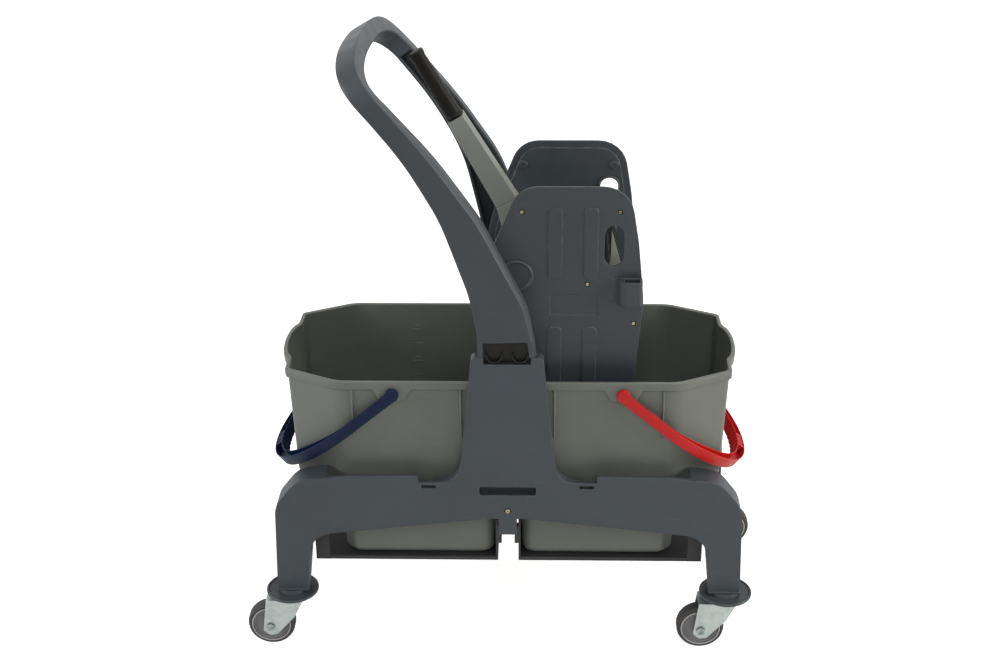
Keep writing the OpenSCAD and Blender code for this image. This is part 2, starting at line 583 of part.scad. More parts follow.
module plate() {
    y = -plate_y;
    translate([0, 0, rise]) difference() {
        union() {
            upright(y, y + plate_t) polygon(outline(plate_corners()));
            upright(y, y + plate_t + 1.6) polygon(outline(inset(plate_corners(), 11)));
            for (x = [69.5, 121.5]) {
                upright(y - 1.2, y + 1) polygon(outline(pad(x, 618 + up, 729 + up)));
                upright(y - 1.2, y + 1) polygon(outline(pad(x, 430, 541 + up)));
            }
            upright(y, y + plate_depth - 0.6) polygon(outline(window(2.5)));
            rod(pivot[0], pivot[1], shaft_r + 6, y, y + plate_depth);
            rod(hinge[0], hinge[1], 10, y, y + plate_depth);
            for (p = screw_spots) rod(p[0], p[1], 6.5, y, y + plate_depth);
            translate([0, 0, 583 + up]) linear_extrude(37) polygon(outline([[146, y + 1, 0],
                [158, y - 2, 14], [167, y - 18, 14], [197, y - 18, 5], [197, y + 1, 0]]));
            box([40, 0.4 - rim_y, rim_at + gap], [51, y + 1, rim_at + 13]);
        }
        upright(y - 2, y + 10) polygon(outline(window(0)));
        upright(y - 2, y + 0.7) polygon(outline([[62.5, 561 + up, 2], [133.5, 561 + up, 2],
            [133.5, 594 + up, 2], [62.5, 594 + up, 2]]));
        translate([171, y - 15, 590 + up]) cube([22, 13, 40]);
        rod(pivot[0], pivot[1], shaft_r + fit, y - 2, y + 40);
        rod(hinge[0], hinge[1], 5, y + plate_t, y + 40);
        for (p = screw_spots) {
            rod(p[0], p[1], 1.4, y - 2, y + plate_depth + 2);
            rod(p[0], p[1], 4.2, y - 4, y + 2);
        }
    }
}

module plate_front() color(dark) plate();
module plate_rear() color(dark) rear() plate();

module cover() {
    translate([pivot[0], -plate_y, pivot[1] + rise]) rotate([90, 0, 0]) rotate_extrude($fn = 64)
        polygon([[0, 2.2], [20.5, 2.2], [21.2, 3.6], [22.5, 4.2], [24.2, 3.6], [25, 1.8], [25, 0],
            [shaft_r + 2, 0], [shaft_r + 2, 1.4], [0, 1.4]]);
}

module pivot_covers() color(dark) {
    cover();
    rear() cover();
}

module sieve_wall() color(grey) translate([0, 0, rise]) {
    y = inner_y - gap;
    difference() {
        union() {
            upright(-y, y) polygon([[149, 430], [155, 430], [155, 628 + up], [154, 634 + up],
                [150, 634 + up], [149, 628 + up]]);
            box([104, -y, 430], [152, y, 436]);
            for (i = [-2 : 2]) upright(i * 40 - 2.5, i * 40 + 2.5)
                polygon([[152, 686 + up], [167, 630 + up], [170, 460], [153, 436], [150, 600 + up]]);
            for (s = [-1, 1]) box([149, s > 0 ? y - 4 : -y, 535 + up], [195, s > 0 ? y : 4 - y, 559 + up]);
        }
        for (i = [-4 : 3], k = [0 : 7]) if (abs(i * 20 + 10) < y - 8)
            translate([140, i * 20 + 10, 456 + k * 22]) rotate([0, 90, 0])
                cylinder(r = 5, h = 15.5, $fn = 20);
        for (i = [-3 : 3], k = [0 : 1]) if (abs(i * 24) < y - 8)
            translate([117 + k * 20, i * 24, 425]) cylinder(r = 5, h = 20, $fn = 20);
        rod(186, 547 + up, 7, -110, 110);
    }
}

// stands the jaw up on its hinge, before it leans back
module jaw_frame() {
    translate([hinge[0], 0, hinge[1] + rise]) rotate([0, -jaw_lean, 0]) children();
}

module press_jaw() color(grey) jaw_frame() {
    y = inner_y - gap - 2;
    difference() {
        union() {
            box([-jaw_t / 2, -y, 14], [jaw_t / 2 - 5, y, jaw_l]);
            for (i = [-4 : 4]) box([jaw_t / 2 - 6, i * 17 - 2, 16], [jaw_t / 2, i * 17 + 2, jaw_l - 4]);
            for (s = [-1, 1], k = [0, 1]) {
                c = s * (k == 0 ? 20 : y - 9);
                rod(0, 0, 9, c - 8, c + 8);
                box([-5, c - 8, 0], [1, c + 8, 20]);
            }
        }
        rod(0, 0, 5 + fit, -200, 200);
        box([-20, -13, jaw_l - 52], [20, 13, jaw_l + 2]);
    }
}

module jaw_pin() color(zinc) translate([0, 0, rise])
    rod(hinge[0], hinge[1], 5, plate_t - plate_y, plate_y - plate_t);

module spacer_tube() color(zinc) translate([0, 0, rise]) difference() {
    y = inner_y;
    rod(screw_spots[3][0], screw_spots[3][1], 7, -y, y);
    rod(screw_spots[3][0], screw_spots[3][1], 1.4, -y - 1, 14 - y);
    rod(screw_spots[3][0], screw_spots[3][1], 1.4, y - 14, y + 1);
}

module plate_screws() color(brass) translate([0, 0, rise]) for (p = screw_spots) {
    screw_at(p[0], 2 - plate_y, p[1], 2.3, p[0] == 186 ? 16 : 5.5);
    rear() screw_at(p[0], 2 - plate_y, p[1], 2.3, p[0] == 186 ? 16 : 5.5);
}

module hanger_bar() color(dark) translate([0, 0, rise]) {
    z = rim_at + gap;
    box([27, plate_t - plate_y, z + 1], [31, plate_y - plate_t, z + 20]);
    box([2.2, -70, z], [31, 70, z + 4]);
    box([2.2, -70, z - 15], [5.2, 70, z + 2]);
}

// lever: drawn with s along the lever from the pivot and r across it to the right

module lever_frame() {
    translate([pivot[0], 0, pivot[1] + rise]) rotate([0, 90 - lever_a, 0]) children();
}

module lever_hub() color(grey) difference() {
    union() {
        lever_frame() {
            upright(-17, 17) polygon([[-16, 8], [2, 50], [lever_off - 17, hub_l], [lever_off + 17, hub_l],
                [lever_off + 17, 56], [18, -8]]);
            box([lever_off - 11, -10, hub_l - 1], [lever_off + 11, 10, hub_l + 70]);
        }
        translate([0, 0, rise]) {
            rod(pivot[0], pivot[1], 20, -17, 17);
            rod(roller_at[0], roller_at[1], 8, -5, 5);
            translate([pivot[0], 0, pivot[1]]) rotate([0, -crank_a, 0]) box([0, -4.4, -7], [crank_l, 4.4, 7]);
        }
    }
    translate([0, 0, rise]) {
        rod(pivot[0], pivot[1], shaft_r, -40, 40);
        rod(roller_at[0], roller_at[1], 4, -40, 40);
        rod(pivot[0] + coil_r, pivot[1], 1.45, 14.5, 18);
    }
}

module lever_arm() color(grey) lever_frame() {
    difference() {
        upright(-15, 15) polygon([[lever_off - 17, hub_l], [lever_off + 17, hub_l],
            [lever_off + 12.5, hub_l + sleeve_l], [lever_off - 12.5, hub_l + sleeve_l]]);
        box([lever_off - 11, -10, hub_l - 1], [lever_off + 11, 10, hub_l + 70]);
    }
    translate([lever_off, 0, hub_l + sleeve_l - 1]) cylinder(r = 8, h = grip_l - 8);
}

// black grip, tapering from a collar at the sleeve to a narrower one at its end
module lever_grip() color(black) lever_frame() translate([lever_off, 0, hub_l + sleeve_l]) rotate_extrude() {
    r = grip_d / 2;
    polygon([[8, 0], [r - 0.6, 0], [r, 1.2], [r, 5], [r - 1, 6.5], [r - 1, 14], [r * 0.86, grip_l * 0.6],
        [r * 0.78, grip_l - 9], [r * 0.78 + 1.2, grip_l - 7.5], [r * 0.78 + 1.2, grip_l - 1.5],
        [r * 0.78, grip_l], [0, grip_l], [0, grip_l - 9], [8, grip_l - 9]]);
}

module pivot_shaft() color(zinc) translate([0, 0, rise])
    rod(pivot[0], pivot[1], shaft_r, 0.3 - plate_y, plate_y - 0.3);

module crank_rollers() color(zinc) translate([0, 0, rise]) {
    for (s = [-1, 1]) difference() {
        rod(roller_at[0], roller_at[1], roller_r, s > 0 ? 6 : -30, s > 0 ? 30 : -6);
        rod(roller_at[0], roller_at[1], 4, -40, 40);
    }
    rod(roller_at[0], roller_at[1], 4, -33, 33);
}

coil_r = shaft_r + 4;
coil_turns = 5;
function coil_point(a) = [pivot[0] + coil_r * cos(a), 21 + 18 * a / (360 * coil_turns),
    pivot[1] + coil_r * sin(a)];
function coil_ring(a) = let (n = 8, o = [cos(a), 0, sin(a)])
    [for (k = [0 : n - 1]) coil_point(a) + 1.4 * (o * cos(360 * k / n) + [0, 1, 0] * sin(360 * k / n))];

module return_spring() color(zinc) translate([0, 0, rise]) {
    loft([for (i = [0 : 20 * coil_turns]) coil_ring(i * 18)]);
    rod(pivot[0] + coil_r, pivot[1], 1.4, 15, 21);
}

side_frame_front();
side_frame_rear();
tray_left();
tray_right();
centre_bridge();
push_handle();
handle_latch_front();
handle_latch_rear();
frame_screws();
tray_screws();
bumper_fl();
bumper_fr();
bumper_rl();
bumper_rr();
stem_fl();
stem_fr();
stem_rl();
stem_rr();
fork_fl();
fork_fr();
fork_rl();
fork_rr();
axle_fl();
axle_fr();
axle_rl();
axle_rr();
hub_fl();
hub_fr();
hub_rl();
hub_rr();
tyre_fl();
tyre_fr();
tyre_rl();
tyre_rr();
bucket_left();
bucket_right();
bail_left();
bail_right();
plate_front();
plate_rear();
pivot_covers();
sieve_wall();
press_jaw();
jaw_pin();
spacer_tube();
plate_screws();
hanger_bar();
lever_hub();
lever_arm();
lever_grip();
pivot_shaft();
crank_rollers();
return_spring();
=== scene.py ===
import math

import bmesh
import bpy
import numpy as np
from mathutils import Matrix, Vector


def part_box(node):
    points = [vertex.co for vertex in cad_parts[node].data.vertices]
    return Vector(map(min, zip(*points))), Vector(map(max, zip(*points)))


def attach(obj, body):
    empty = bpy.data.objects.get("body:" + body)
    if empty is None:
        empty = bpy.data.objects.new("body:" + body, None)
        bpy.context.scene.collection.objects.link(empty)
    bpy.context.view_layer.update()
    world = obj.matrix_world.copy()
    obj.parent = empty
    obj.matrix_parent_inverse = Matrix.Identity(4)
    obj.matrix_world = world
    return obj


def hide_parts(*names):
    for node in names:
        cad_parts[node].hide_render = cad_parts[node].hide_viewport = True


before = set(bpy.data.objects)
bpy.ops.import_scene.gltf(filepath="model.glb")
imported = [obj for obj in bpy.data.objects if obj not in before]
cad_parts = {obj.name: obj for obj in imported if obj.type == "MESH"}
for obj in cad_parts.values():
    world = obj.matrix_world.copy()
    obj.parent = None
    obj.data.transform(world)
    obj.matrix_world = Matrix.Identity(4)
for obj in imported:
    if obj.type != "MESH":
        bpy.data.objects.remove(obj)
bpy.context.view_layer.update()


# The studio: a pale floor that keeps the trolley's soft shadow and glows white further out, a
# white room, four large soft lamps, and a camera in front that looks down on the trolley.
def linear(red, green, blue):
    """Scene colour of an 8-bit screen colour, by the sRGB curve."""
    c = np.array([red, green, blue]) / 255
    return [*np.where(c <= 0.04045, c / 12.92, ((c + 0.055) / 1.055) ** 2.4).tolist(), 1.0]


def join(tree, *pairs):
    """Links each pair of sockets, from the first to the second."""
    for source, target in pairs:
        tree.links.new(source, target)


def band(tree, value, low, high, to_low=0.0, to_high=1.0):
    """Maps value from low..high to to_low..to_high, held at the ends."""
    step = tree.nodes.new("ShaderNodeMapRange")
    for label, number in zip(("From Min", "From Max", "To Min", "To Max"), (low, high, to_low, to_high)):
        step.inputs[label].default_value = number
    tree.links.new(value, step.inputs["Value"])
    return step.outputs["Result"]


def sums(tree, kind, a, b):
    """One Math node on two sockets or numbers."""
    step = tree.nodes.new("ShaderNodeMath")
    step.operation = kind
    for value, socket in zip((a, b), step.inputs):
        if isinstance(value, (int, float)):
            socket.default_value = value
        else:
            tree.links.new(value, socket)
    return step.outputs[0]


scene = bpy.context.scene
scene.view_settings.view_transform = "Standard"
CAMERA_PLACE = (0.0433, -2.1678, 1.5313)
CAMERA_PITCH, CAMERA_YAW, CAMERA_ROLL = 0.45112, 0.02646, -0.00727
FOCAL_PIXELS, PICTURE_PIXELS, SENSOR = 1543.7, 1000, 36.0
camera = bpy.data.objects.new("camera", bpy.data.cameras.new("camera"))
camera.data.sensor_width = SENSOR
camera.data.lens = FOCAL_PIXELS * SENSOR / PICTURE_PIXELS
camera.location = CAMERA_PLACE
camera.rotation_euler = (Matrix.Rotation(CAMERA_YAW, 3, "Z") @ Matrix.Rotation(math.pi / 2 - CAMERA_PITCH, 3, "X")
                         @ Matrix.Rotation(CAMERA_ROLL, 3, "Z")).to_euler()
scene.collection.objects.link(camera)
scene.camera = camera

LAMP_AIM = Vector((0, 0, 0.4))
LAMPS = {"left": ((-2.8, -0.7, 1.3), 1.4, 50, (0.97, 0.99, 1)),
         "right": ((2.8, -0.7, 1.3), 1.4, 64, (1, 0.97, 0.92)),
         "top": ((0.5, 0.3, 3.0), 2.2, 30, (1, 0.9, 0.76)),
         "front": ((0.3, -2.8, 2.6), 1.6, 27, (1, 1, 1))}
for lamp_name, (place, width, watts, tint) in LAMPS.items():
    lamp = bpy.data.objects.new(f"lamp_{lamp_name}", bpy.data.lights.new(f"lamp_{lamp_name}", "AREA"))
    lamp.data.shape, lamp.data.size, lamp.data.energy, lamp.data.color = "DISK", width, watts, tint
    lamp.location = place
    lamp.rotation_euler = (LAMP_AIM - Vector(place)).to_track_quat("-Z", "Y").to_euler()
    scene.collection.objects.link(lamp)

AMBIENT, SEEN_WHITE = 0.17, 1.0
room = bpy.data.worlds.new("white_room")
room.use_nodes = True
scene.world = room
tree = room.node_tree
tree.nodes.clear()
ray = tree.nodes.new("ShaderNodeLightPath").outputs
seen = sums(tree, "MAXIMUM", ray["Is Camera Ray"], ray["Is Glossy Ray"])
seen = sums(tree, "MAXIMUM", seen, ray["Is Transmission Ray"])
light, white = tree.nodes.new("ShaderNodeBackground"), tree.nodes.new("ShaderNodeBackground")
for sky, strength in ((light, AMBIENT), (white, SEEN_WHITE)):
    sky.inputs["Color"].default_value = (1, 1, 1, 1)
    sky.inputs["Strength"].default_value = strength
mix, out = tree.nodes.new("ShaderNodeMixShader"), tree.nodes.new("ShaderNodeOutputWorld")
join(tree, (seen, mix.inputs["Fac"]), (light.outputs[0], mix.inputs[1]), (white.outputs[0], mix.inputs[2]),
     (mix.outputs[0], out.inputs["Surface"]))

FLOOR_HALF, FLOOR_COLOUR = 9.0, (0.9, 0.9, 0.9, 1)
FLOOR_LIFT, LIFT_RADIUS = (0.7, 1.0), (1.2, 2.6)
floor_mesh = bpy.data.meshes.new("floor")
floor_mesh.from_pydata([(x * FLOOR_HALF, y * FLOOR_HALF, 0) for x, y in ((-1, -1), (1, -1), (1, 1), (-1, 1))], [],
                       [(0, 1, 2, 3)])
floor = bpy.data.objects.new("floor", floor_mesh)
scene.collection.objects.link(floor)
pale = bpy.data.materials.new("pale_floor")
pale.use_nodes = True
tree = pale.node_tree
tree.nodes.clear()
reach = tree.nodes.new("ShaderNodeVectorMath")
reach.operation = "LENGTH"
tree.links.new(tree.nodes.new("ShaderNodeTexCoord").outputs["Object"], reach.inputs[0])
lift = sums(tree, "MULTIPLY", tree.nodes.new("ShaderNodeLightPath").outputs["Is Camera Ray"],
            band(tree, reach.outputs["Value"], *LIFT_RADIUS, *FLOOR_LIFT))
matt, glow = tree.nodes.new("ShaderNodeBsdfDiffuse"), tree.nodes.new("ShaderNodeEmission")
matt.inputs["Color"].default_value = FLOOR_COLOUR
both, out = tree.nodes.new("ShaderNodeAddShader"), tree.nodes.new("ShaderNodeOutputMaterial")
join(tree, (lift, glow.inputs["Strength"]), (matt.outputs[0], both.inputs[0]), (glow.outputs[0], both.inputs[1]),
     (both.outputs[0], out.inputs["Surface"]))
floor_mesh.materials.append(pale)


# Side frames: the two dark slate panels with legs, one injection moulding each, with a fine
# spark-eroded grain. Moulded edges are rounded a little and painted pale: wear, and a painted highlight.
def group_of(name, inputs, outputs):
    """A shader node group with named float or colour inputs (by their defaults) and named outputs."""
    tree = bpy.data.node_groups.new(name, "ShaderNodeTree")
    for label, value in inputs.items():
        kind = "NodeSocketColor" if hasattr(value, "__len__") else "NodeSocketFloat"
        tree.interface.new_socket(label, in_out="INPUT", socket_type=kind).default_value = value
    for label, kind in outputs.items():
        tree.interface.new_socket(label, in_out="OUTPUT", socket_type=kind)
    return tree, tree.nodes.new("NodeGroupInput"), tree.nodes.new("NodeGroupOutput")


def noise(tree, scale, detail=3.0, stretch=None):
    """Noise on Object coordinates, in cells to the metre; stretch scales the axes first."""
    place = tree.nodes.new("ShaderNodeTexCoord").outputs["Object"]
    if stretch:
        turn = tree.nodes.new("ShaderNodeMapping")
        turn.inputs["Scale"].default_value = stretch
        tree.links.new(place, turn.inputs["Vector"])
        place = turn.outputs["Vector"]
    spots = tree.nodes.new("ShaderNodeTexNoise")
    spots.inputs["Scale"].default_value = scale
    spots.inputs["Detail"].default_value = detail
    tree.links.new(place, spots.inputs["Vector"])
    return spots.outputs["Fac"]


def blend(tree, amount, a, b):
    """One colour Mix node; a and b are sockets or colours."""
    step = tree.nodes.new("ShaderNodeMix")
    step.data_type = "RGBA"
    for value, socket in ((amount, step.inputs[0]), (a, step.inputs[6]), (b, step.inputs[7])):
        if hasattr(value, "__len__"):
            socket.default_value = value
        else:
            tree.links.new(value, socket)
    return step.outputs[2]


# edge wear and painted highlight radius; reach and colour of the painted shade in each piece's own crevices
WEAR_AND_HIGHLIGHT_RADIUS, SHADE_REACH, PAINTED_SHADE_COLOUR = 0.0016, 0.006, linear(14, 14, 13)
SKIN = {"Colour": "NodeSocketColor", "Roughness": "NodeSocketFloat", "Height": "NodeSocketFloat"}


def edge_wear_and_highlight_group():
    """Mask of edges painted pale, partly as wear and partly as a painted highlight: one minus the dot product of the
    true normal with the normal averaged over a small radius, broken up by noise."""
    tree, given, result = group_of("edge_wear", {"Amount": 0.5}, {"Mask": "NodeSocketFloat"})
    soft = tree.nodes.new("ShaderNodeBevel")
    soft.samples = 3
    soft.inputs["Radius"].default_value = WEAR_AND_HIGHLIGHT_RADIUS
    facing = tree.nodes.new("ShaderNodeVectorMath")
    facing.operation = "DOT_PRODUCT"
    true = tree.nodes.new("ShaderNodeNewGeometry")
    join(tree, (soft.outputs["Normal"], facing.inputs[0]), (true.outputs["Normal"], facing.inputs[1]))
    edge = band(tree, facing.outputs["Value"], 0.97, 0.72)
    broken = band(tree, noise(tree, 90, 4), 0.35, 0.65)
    worn_and_lit_edges = sums(tree, "MULTIPLY", sums(tree, "MULTIPLY", edge, broken), given.outputs["Amount"])
    tree.links.new(worn_and_lit_edges, result.inputs["Mask"])


def moulded_group():
    """Skin of an injection moulding: cloudy colour, fine eroded grain, faint hairline scuffs and edges painted pale,
    partly as wear and partly as a painted highlight, and painted shade where the piece itself closes in a surface
    within a few millimetres."""
    tree, given, result = group_of(
        "moulded_skin", {"Colour": linear(70, 76, 84), "Rubbed": linear(110, 114, 118), "Roughness": 0.42,
                         "Cloud": 0.07, "Scuffs": 0.25, "Wear": 0.4, "Grime": 0.55},
        SKIN)
    cloud = sums(tree, "MULTIPLY", band(tree, noise(tree, 9, 4), 0.3, 0.7, -1, 1), given.outputs["Cloud"])
    tone = tree.nodes.new("ShaderNodeHueSaturation")
    join(tree, (sums(tree, "ADD", cloud, 1.0), tone.inputs["Value"]), (given.outputs["Colour"], tone.inputs["Color"]))
    lines = sums(tree, "MAXIMUM", band(tree, noise(tree, 26, 5, (1, 3, 14)), 0.66, 0.74),
                 band(tree, noise(tree, 22, 5, (15, 4, 1.2)), 0.68, 0.76))
    scuffs = sums(tree, "MULTIPLY", lines, given.outputs["Scuffs"])
    worn_and_lit_edges = tree.nodes.new("ShaderNodeGroup")
    worn_and_lit_edges.node_tree = bpy.data.node_groups["edge_wear"]
    tree.links.new(given.outputs["Wear"], worn_and_lit_edges.inputs["Amount"])
    # pale edges, partly wear and partly a painted highlight along the rounded edges, together with the scuffs
    rubbed_and_lit = sums(tree, "MAXIMUM", sums(tree, "MULTIPLY", scuffs, 0.5), worn_and_lit_edges.outputs["Mask"])
    sheen = sums(tree, "ADD", given.outputs["Roughness"], band(tree, noise(tree, 40, 3), 0.3, 0.7, -0.06, 0.06))
    grain = sums(tree, "ADD", noise(tree, 1500, 2), sums(tree, "MULTIPLY", noise(tree, 420, 3), 0.8))
    # painted shade: the piece's own ambient occlusion darkens its creases and recesses towards near black
    closed = tree.nodes.new("ShaderNodeAmbientOcclusion")
    closed.samples, closed.only_local = 6, True
    closed.inputs["Distance"].default_value = SHADE_REACH
    shade_mask = sums(tree, "MULTIPLY", band(tree, closed.outputs["AO"], 0.85, 0.3), given.outputs["Grime"])
    with_painted_shade = blend(tree, shade_mask, tone.outputs["Color"], PAINTED_SHADE_COLOUR)
    join(tree, (blend(tree, rubbed_and_lit, with_painted_shade, given.outputs["Rubbed"]), result.inputs["Colour"]),
         (sums(tree, "ADD", sheen, sums(tree, "MULTIPLY", scuffs, 0.12)), result.inputs["Roughness"]),
         (sums(tree, "SUBTRACT", grain, sums(tree, "MULTIPLY", scuffs, 0.4)), result.inputs["Height"]))


edge_wear_and_highlight_group()
moulded_group()


def finish_of(name, skin, values, bump, edge=0.0014, **fixed):
    """A material: the skin group with its own values feeds colour, roughness and bump (its strength and its height
    in metres) of one glossy shader, over edges that look rounded by the edge radius."""
    made = bpy.data.materials.new(name)
    made.use_nodes = True
    tree = made.node_tree
    tree.nodes.clear()
    group = tree.nodes.new("ShaderNodeGroup")
    group.node_tree = bpy.data.node_groups[skin]
    for label, value in values.items():
        group.inputs[label].default_value = value
    shader, out = tree.nodes.new("ShaderNodeBsdfPrincipled"), tree.nodes.new("ShaderNodeOutputMaterial")
    relief, soft = tree.nodes.new("ShaderNodeBump"), tree.nodes.new("ShaderNodeBevel")
    relief.inputs["Strength"].default_value, relief.inputs["Distance"].default_value = bump
    soft.samples = 4
    soft.inputs["Radius"].default_value = edge
    for label, value in fixed.items():
        shader.inputs[label.replace("_", " ")].default_value = value
    join(tree, (group.outputs["Colour"], shader.inputs["Base Color"]),
         (group.outputs["Roughness"], shader.inputs["Roughness"]), (group.outputs["Height"], relief.inputs["Height"]),
         (soft.outputs["Normal"], relief.inputs["Normal"]), (relief.outputs["Normal"], shader.inputs["Normal"]),
         (shader.outputs[0], out.inputs["Surface"]))
    return made


def dress(material, *names):
    """Gives CAD nodes a finish through their own material slots."""
    for name in names:
        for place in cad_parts[name].material_slots:
            place.link = "OBJECT"
            place.material = material


GRAIN = (0.14, 0.0004)
# frame finish: edges painted pale, partly as wear and partly as a painted highlight, and painted shade in its creases
slate = finish_of("slate_plastic", "moulded_skin", {"Colour": linear(60, 67, 73), "Rubbed": linear(118, 123, 127),
                  "Wear": 0.85, "Grime": 0.3}, GRAIN, edge=0.0035, Specular_IOR_Level=0.38)
slate_fine = finish_of("slate_fine", "moulded_skin", {"Colour": linear(58, 64, 69)}, GRAIN, edge=0.0009,
                       Specular_IOR_Level=0.35)
dress(slate, "side_frame_front", "side_frame_rear")


# Foot collars: a thin moulded lip that runs round the foot of each leg, of the frame's own slate
# plastic, where the leg stands on its bumper disc. Its rounded section is carried round the foot.
def rounded(corners, radii, steps):
    """Closed outline whose corners become arcs: an arc's centre lies on the corner's bisector at radius over the
    sine of half the corner, and its points turn evenly from one tangent point to the other. Works on (..., n, 2)."""
    c = np.asarray(corners, float)
    r = np.broadcast_to(np.asarray(radii, float), c.shape[:-1])[..., None]
    u, v = np.roll(c, 1, -2) - c, np.roll(c, -1, -2) - c
    u, v = (w / np.linalg.norm(w, axis=-1, keepdims=True) for w in (u, v))
    half = np.arccos(np.clip((u * v).sum(-1, keepdims=True), -1, 1)) / 2
    centre = c + (u + v) / np.linalg.norm(u + v, axis=-1, keepdims=True) * r / np.sin(half)
    start, end = c + u * r / np.tan(half) - centre, c + v * r / np.tan(half) - centre
    a = np.arctan2(start[..., 1], start[..., 0])
    turn = (np.arctan2(end[..., 1], end[..., 0]) - a + np.pi) % (2 * np.pi) - np.pi
    angle = a[..., None] + turn[..., None] * np.linspace(0, 1, steps + 1)
    arc = centre[..., None, :] + r[..., None] * np.stack([np.cos(angle), np.sin(angle)], -1)
    return arc.reshape(*c.shape[:-2], -1, 2)


def rect(left, right, low, high):
    """Corners of an upright rectangle, in turn to the left."""
    return np.array([(left, low), (right, low), (right, high), (left, high)])


WELD, CRISP = 2e-6, math.radians(38)


def mesh_piece(name, parts, material, body, replaces=None):
    """One piece from grids of points in metres, (rings, places, 3) each, with the places closed round; the first and
    last rings are joined where loop is true, and otherwise closed with a flat face. Edges over the crisp angle stay
    sharp."""
    points, faces, start = [], [], 0
    for grid, loop in parts:
        m, n = grid.shape[:2]
        index = start + np.arange(m * n).reshape(m, n)
        index = np.concatenate([index, index[:, :1]], 1)
        index = np.concatenate([index, index[:1]], 0) if loop else index
        sheet = np.stack([index[:-1, :-1], index[:-1, 1:], index[1:, 1:], index[1:, :-1]], -1)
        faces += sheet.reshape(-1, 4).tolist()
        faces += [] if loop else [index[0, -2::-1].tolist(), index[-1, :-1].tolist()]
        points.append(grid.reshape(-1, 3))
        start += m * n
    mesh = bpy.data.meshes.new(name)
    mesh.from_pydata(np.concatenate(points), [], faces)
    work = bmesh.new()
    work.from_mesh(mesh)
    bmesh.ops.remove_doubles(work, verts=work.verts, dist=WELD)
    bmesh.ops.recalc_face_normals(work, faces=work.faces)
    work.to_mesh(mesh)
    work.free()
    mesh.polygons.foreach_set("use_smooth", np.ones(len(mesh.polygons), bool))
    mesh.set_sharp_from_angle(angle=CRISP)
    mesh.materials.append(material)
    made = bpy.data.objects.new(name, mesh)
    scene.collection.objects.link(made)
    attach(made, body)
    if replaces:
        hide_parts(replaces)


CORNERS = {"fl": (-1, -1), "fr": (1, -1), "rl": (-1, 1), "rr": (1, 1)}
COLLAR = np.array([(-1.5, 0.1), (0.9, 0.1), (1.3, 0.5), (1.3, 3.2), (0.8, 3.9), (-1.5, 3.9)]) / 1000
foot_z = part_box("side_frame_front")[0][2]
frame_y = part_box("side_frame_rear")[1][1]
FOOT_IN, FOOT_OUT, FOOT_DEPTH, FOOT_ROUND = 0.3146, 0.3630, 0.029, 0.003
for corner, (sx, sy) in CORNERS.items():
    base = rect(FOOT_IN, FOOT_OUT, frame_y - FOOT_DEPTH, frame_y) * (sx, sy)
    middle = base.mean(0)
    ring = rounded((base - middle)[None] + np.sign(base - middle) * COLLAR[:, :1, None], FOOT_ROUND, 5) + middle
    heights = np.broadcast_to(foot_z + COLLAR[:, 1, None, None], ring.shape[:2] + (1,))
    mesh_piece(f"foot_collar_{corner}", [(np.concatenate([ring, heights], -1), True)], slate_fine, "chassis")


# Slot pockets: a shallow cup moulded behind the slot of each side frame, which takes the tongue
# of a hung accessory and closes the slot to the back.
SLOT_HALF, SLOT_LOW, SLOT_TOP, POCKET_WALL, POCKET_ROUND = 0.0455, 0.2815, 0.3015, 0.0014, 0.003
POCKET_Y = np.array([0.1496, 0.1579, 0.1579, 0.1482])
mouth, wall = rect(-SLOT_HALF, SLOT_HALF, SLOT_LOW, SLOT_TOP), rect(-1, 1, -1, 1) * POCKET_WALL
cup = np.stack([rounded(mouth - wall, POCKET_ROUND, 4)] * 2 + [rounded(mouth, POCKET_ROUND + POCKET_WALL, 4)] * 2)
for side, end in ((-1, "front"), (1, "rear")):
    depth = np.broadcast_to(side * POCKET_Y[:, None], cup.shape[:2])
    grid = np.stack([cup[..., 0], depth, cup[..., 1]], -1)
    mesh_piece(f"slot_pocket_{end}", [(grid, False)], slate_fine, "chassis")


# Bumper discs and the centre bridge: slate mouldings too. The discs are turned plates with a
# raised rim under each leg, and the bridge is the bar that ties the frames under the buckets.
dress(slate_fine, *(f"bumper_{corner}" for corner in CORNERS), "centre_bridge")


# Trays: two black ribbed shelves that carry the buckets, screwed to the frames from inside.
# They are cheaper, duller plastic, greyed by splashed water.
tray_black = finish_of("tray_plastic", "moulded_skin", {"Colour": linear(50, 49, 50), "Rubbed": linear(84, 84, 84),
                       "Roughness": 0.55, "Cloud": 0.12, "Scuffs": 0.5}, GRAIN, Specular_IOR_Level=0.4)
dress(tray_black, "tray_left", "tray_right")


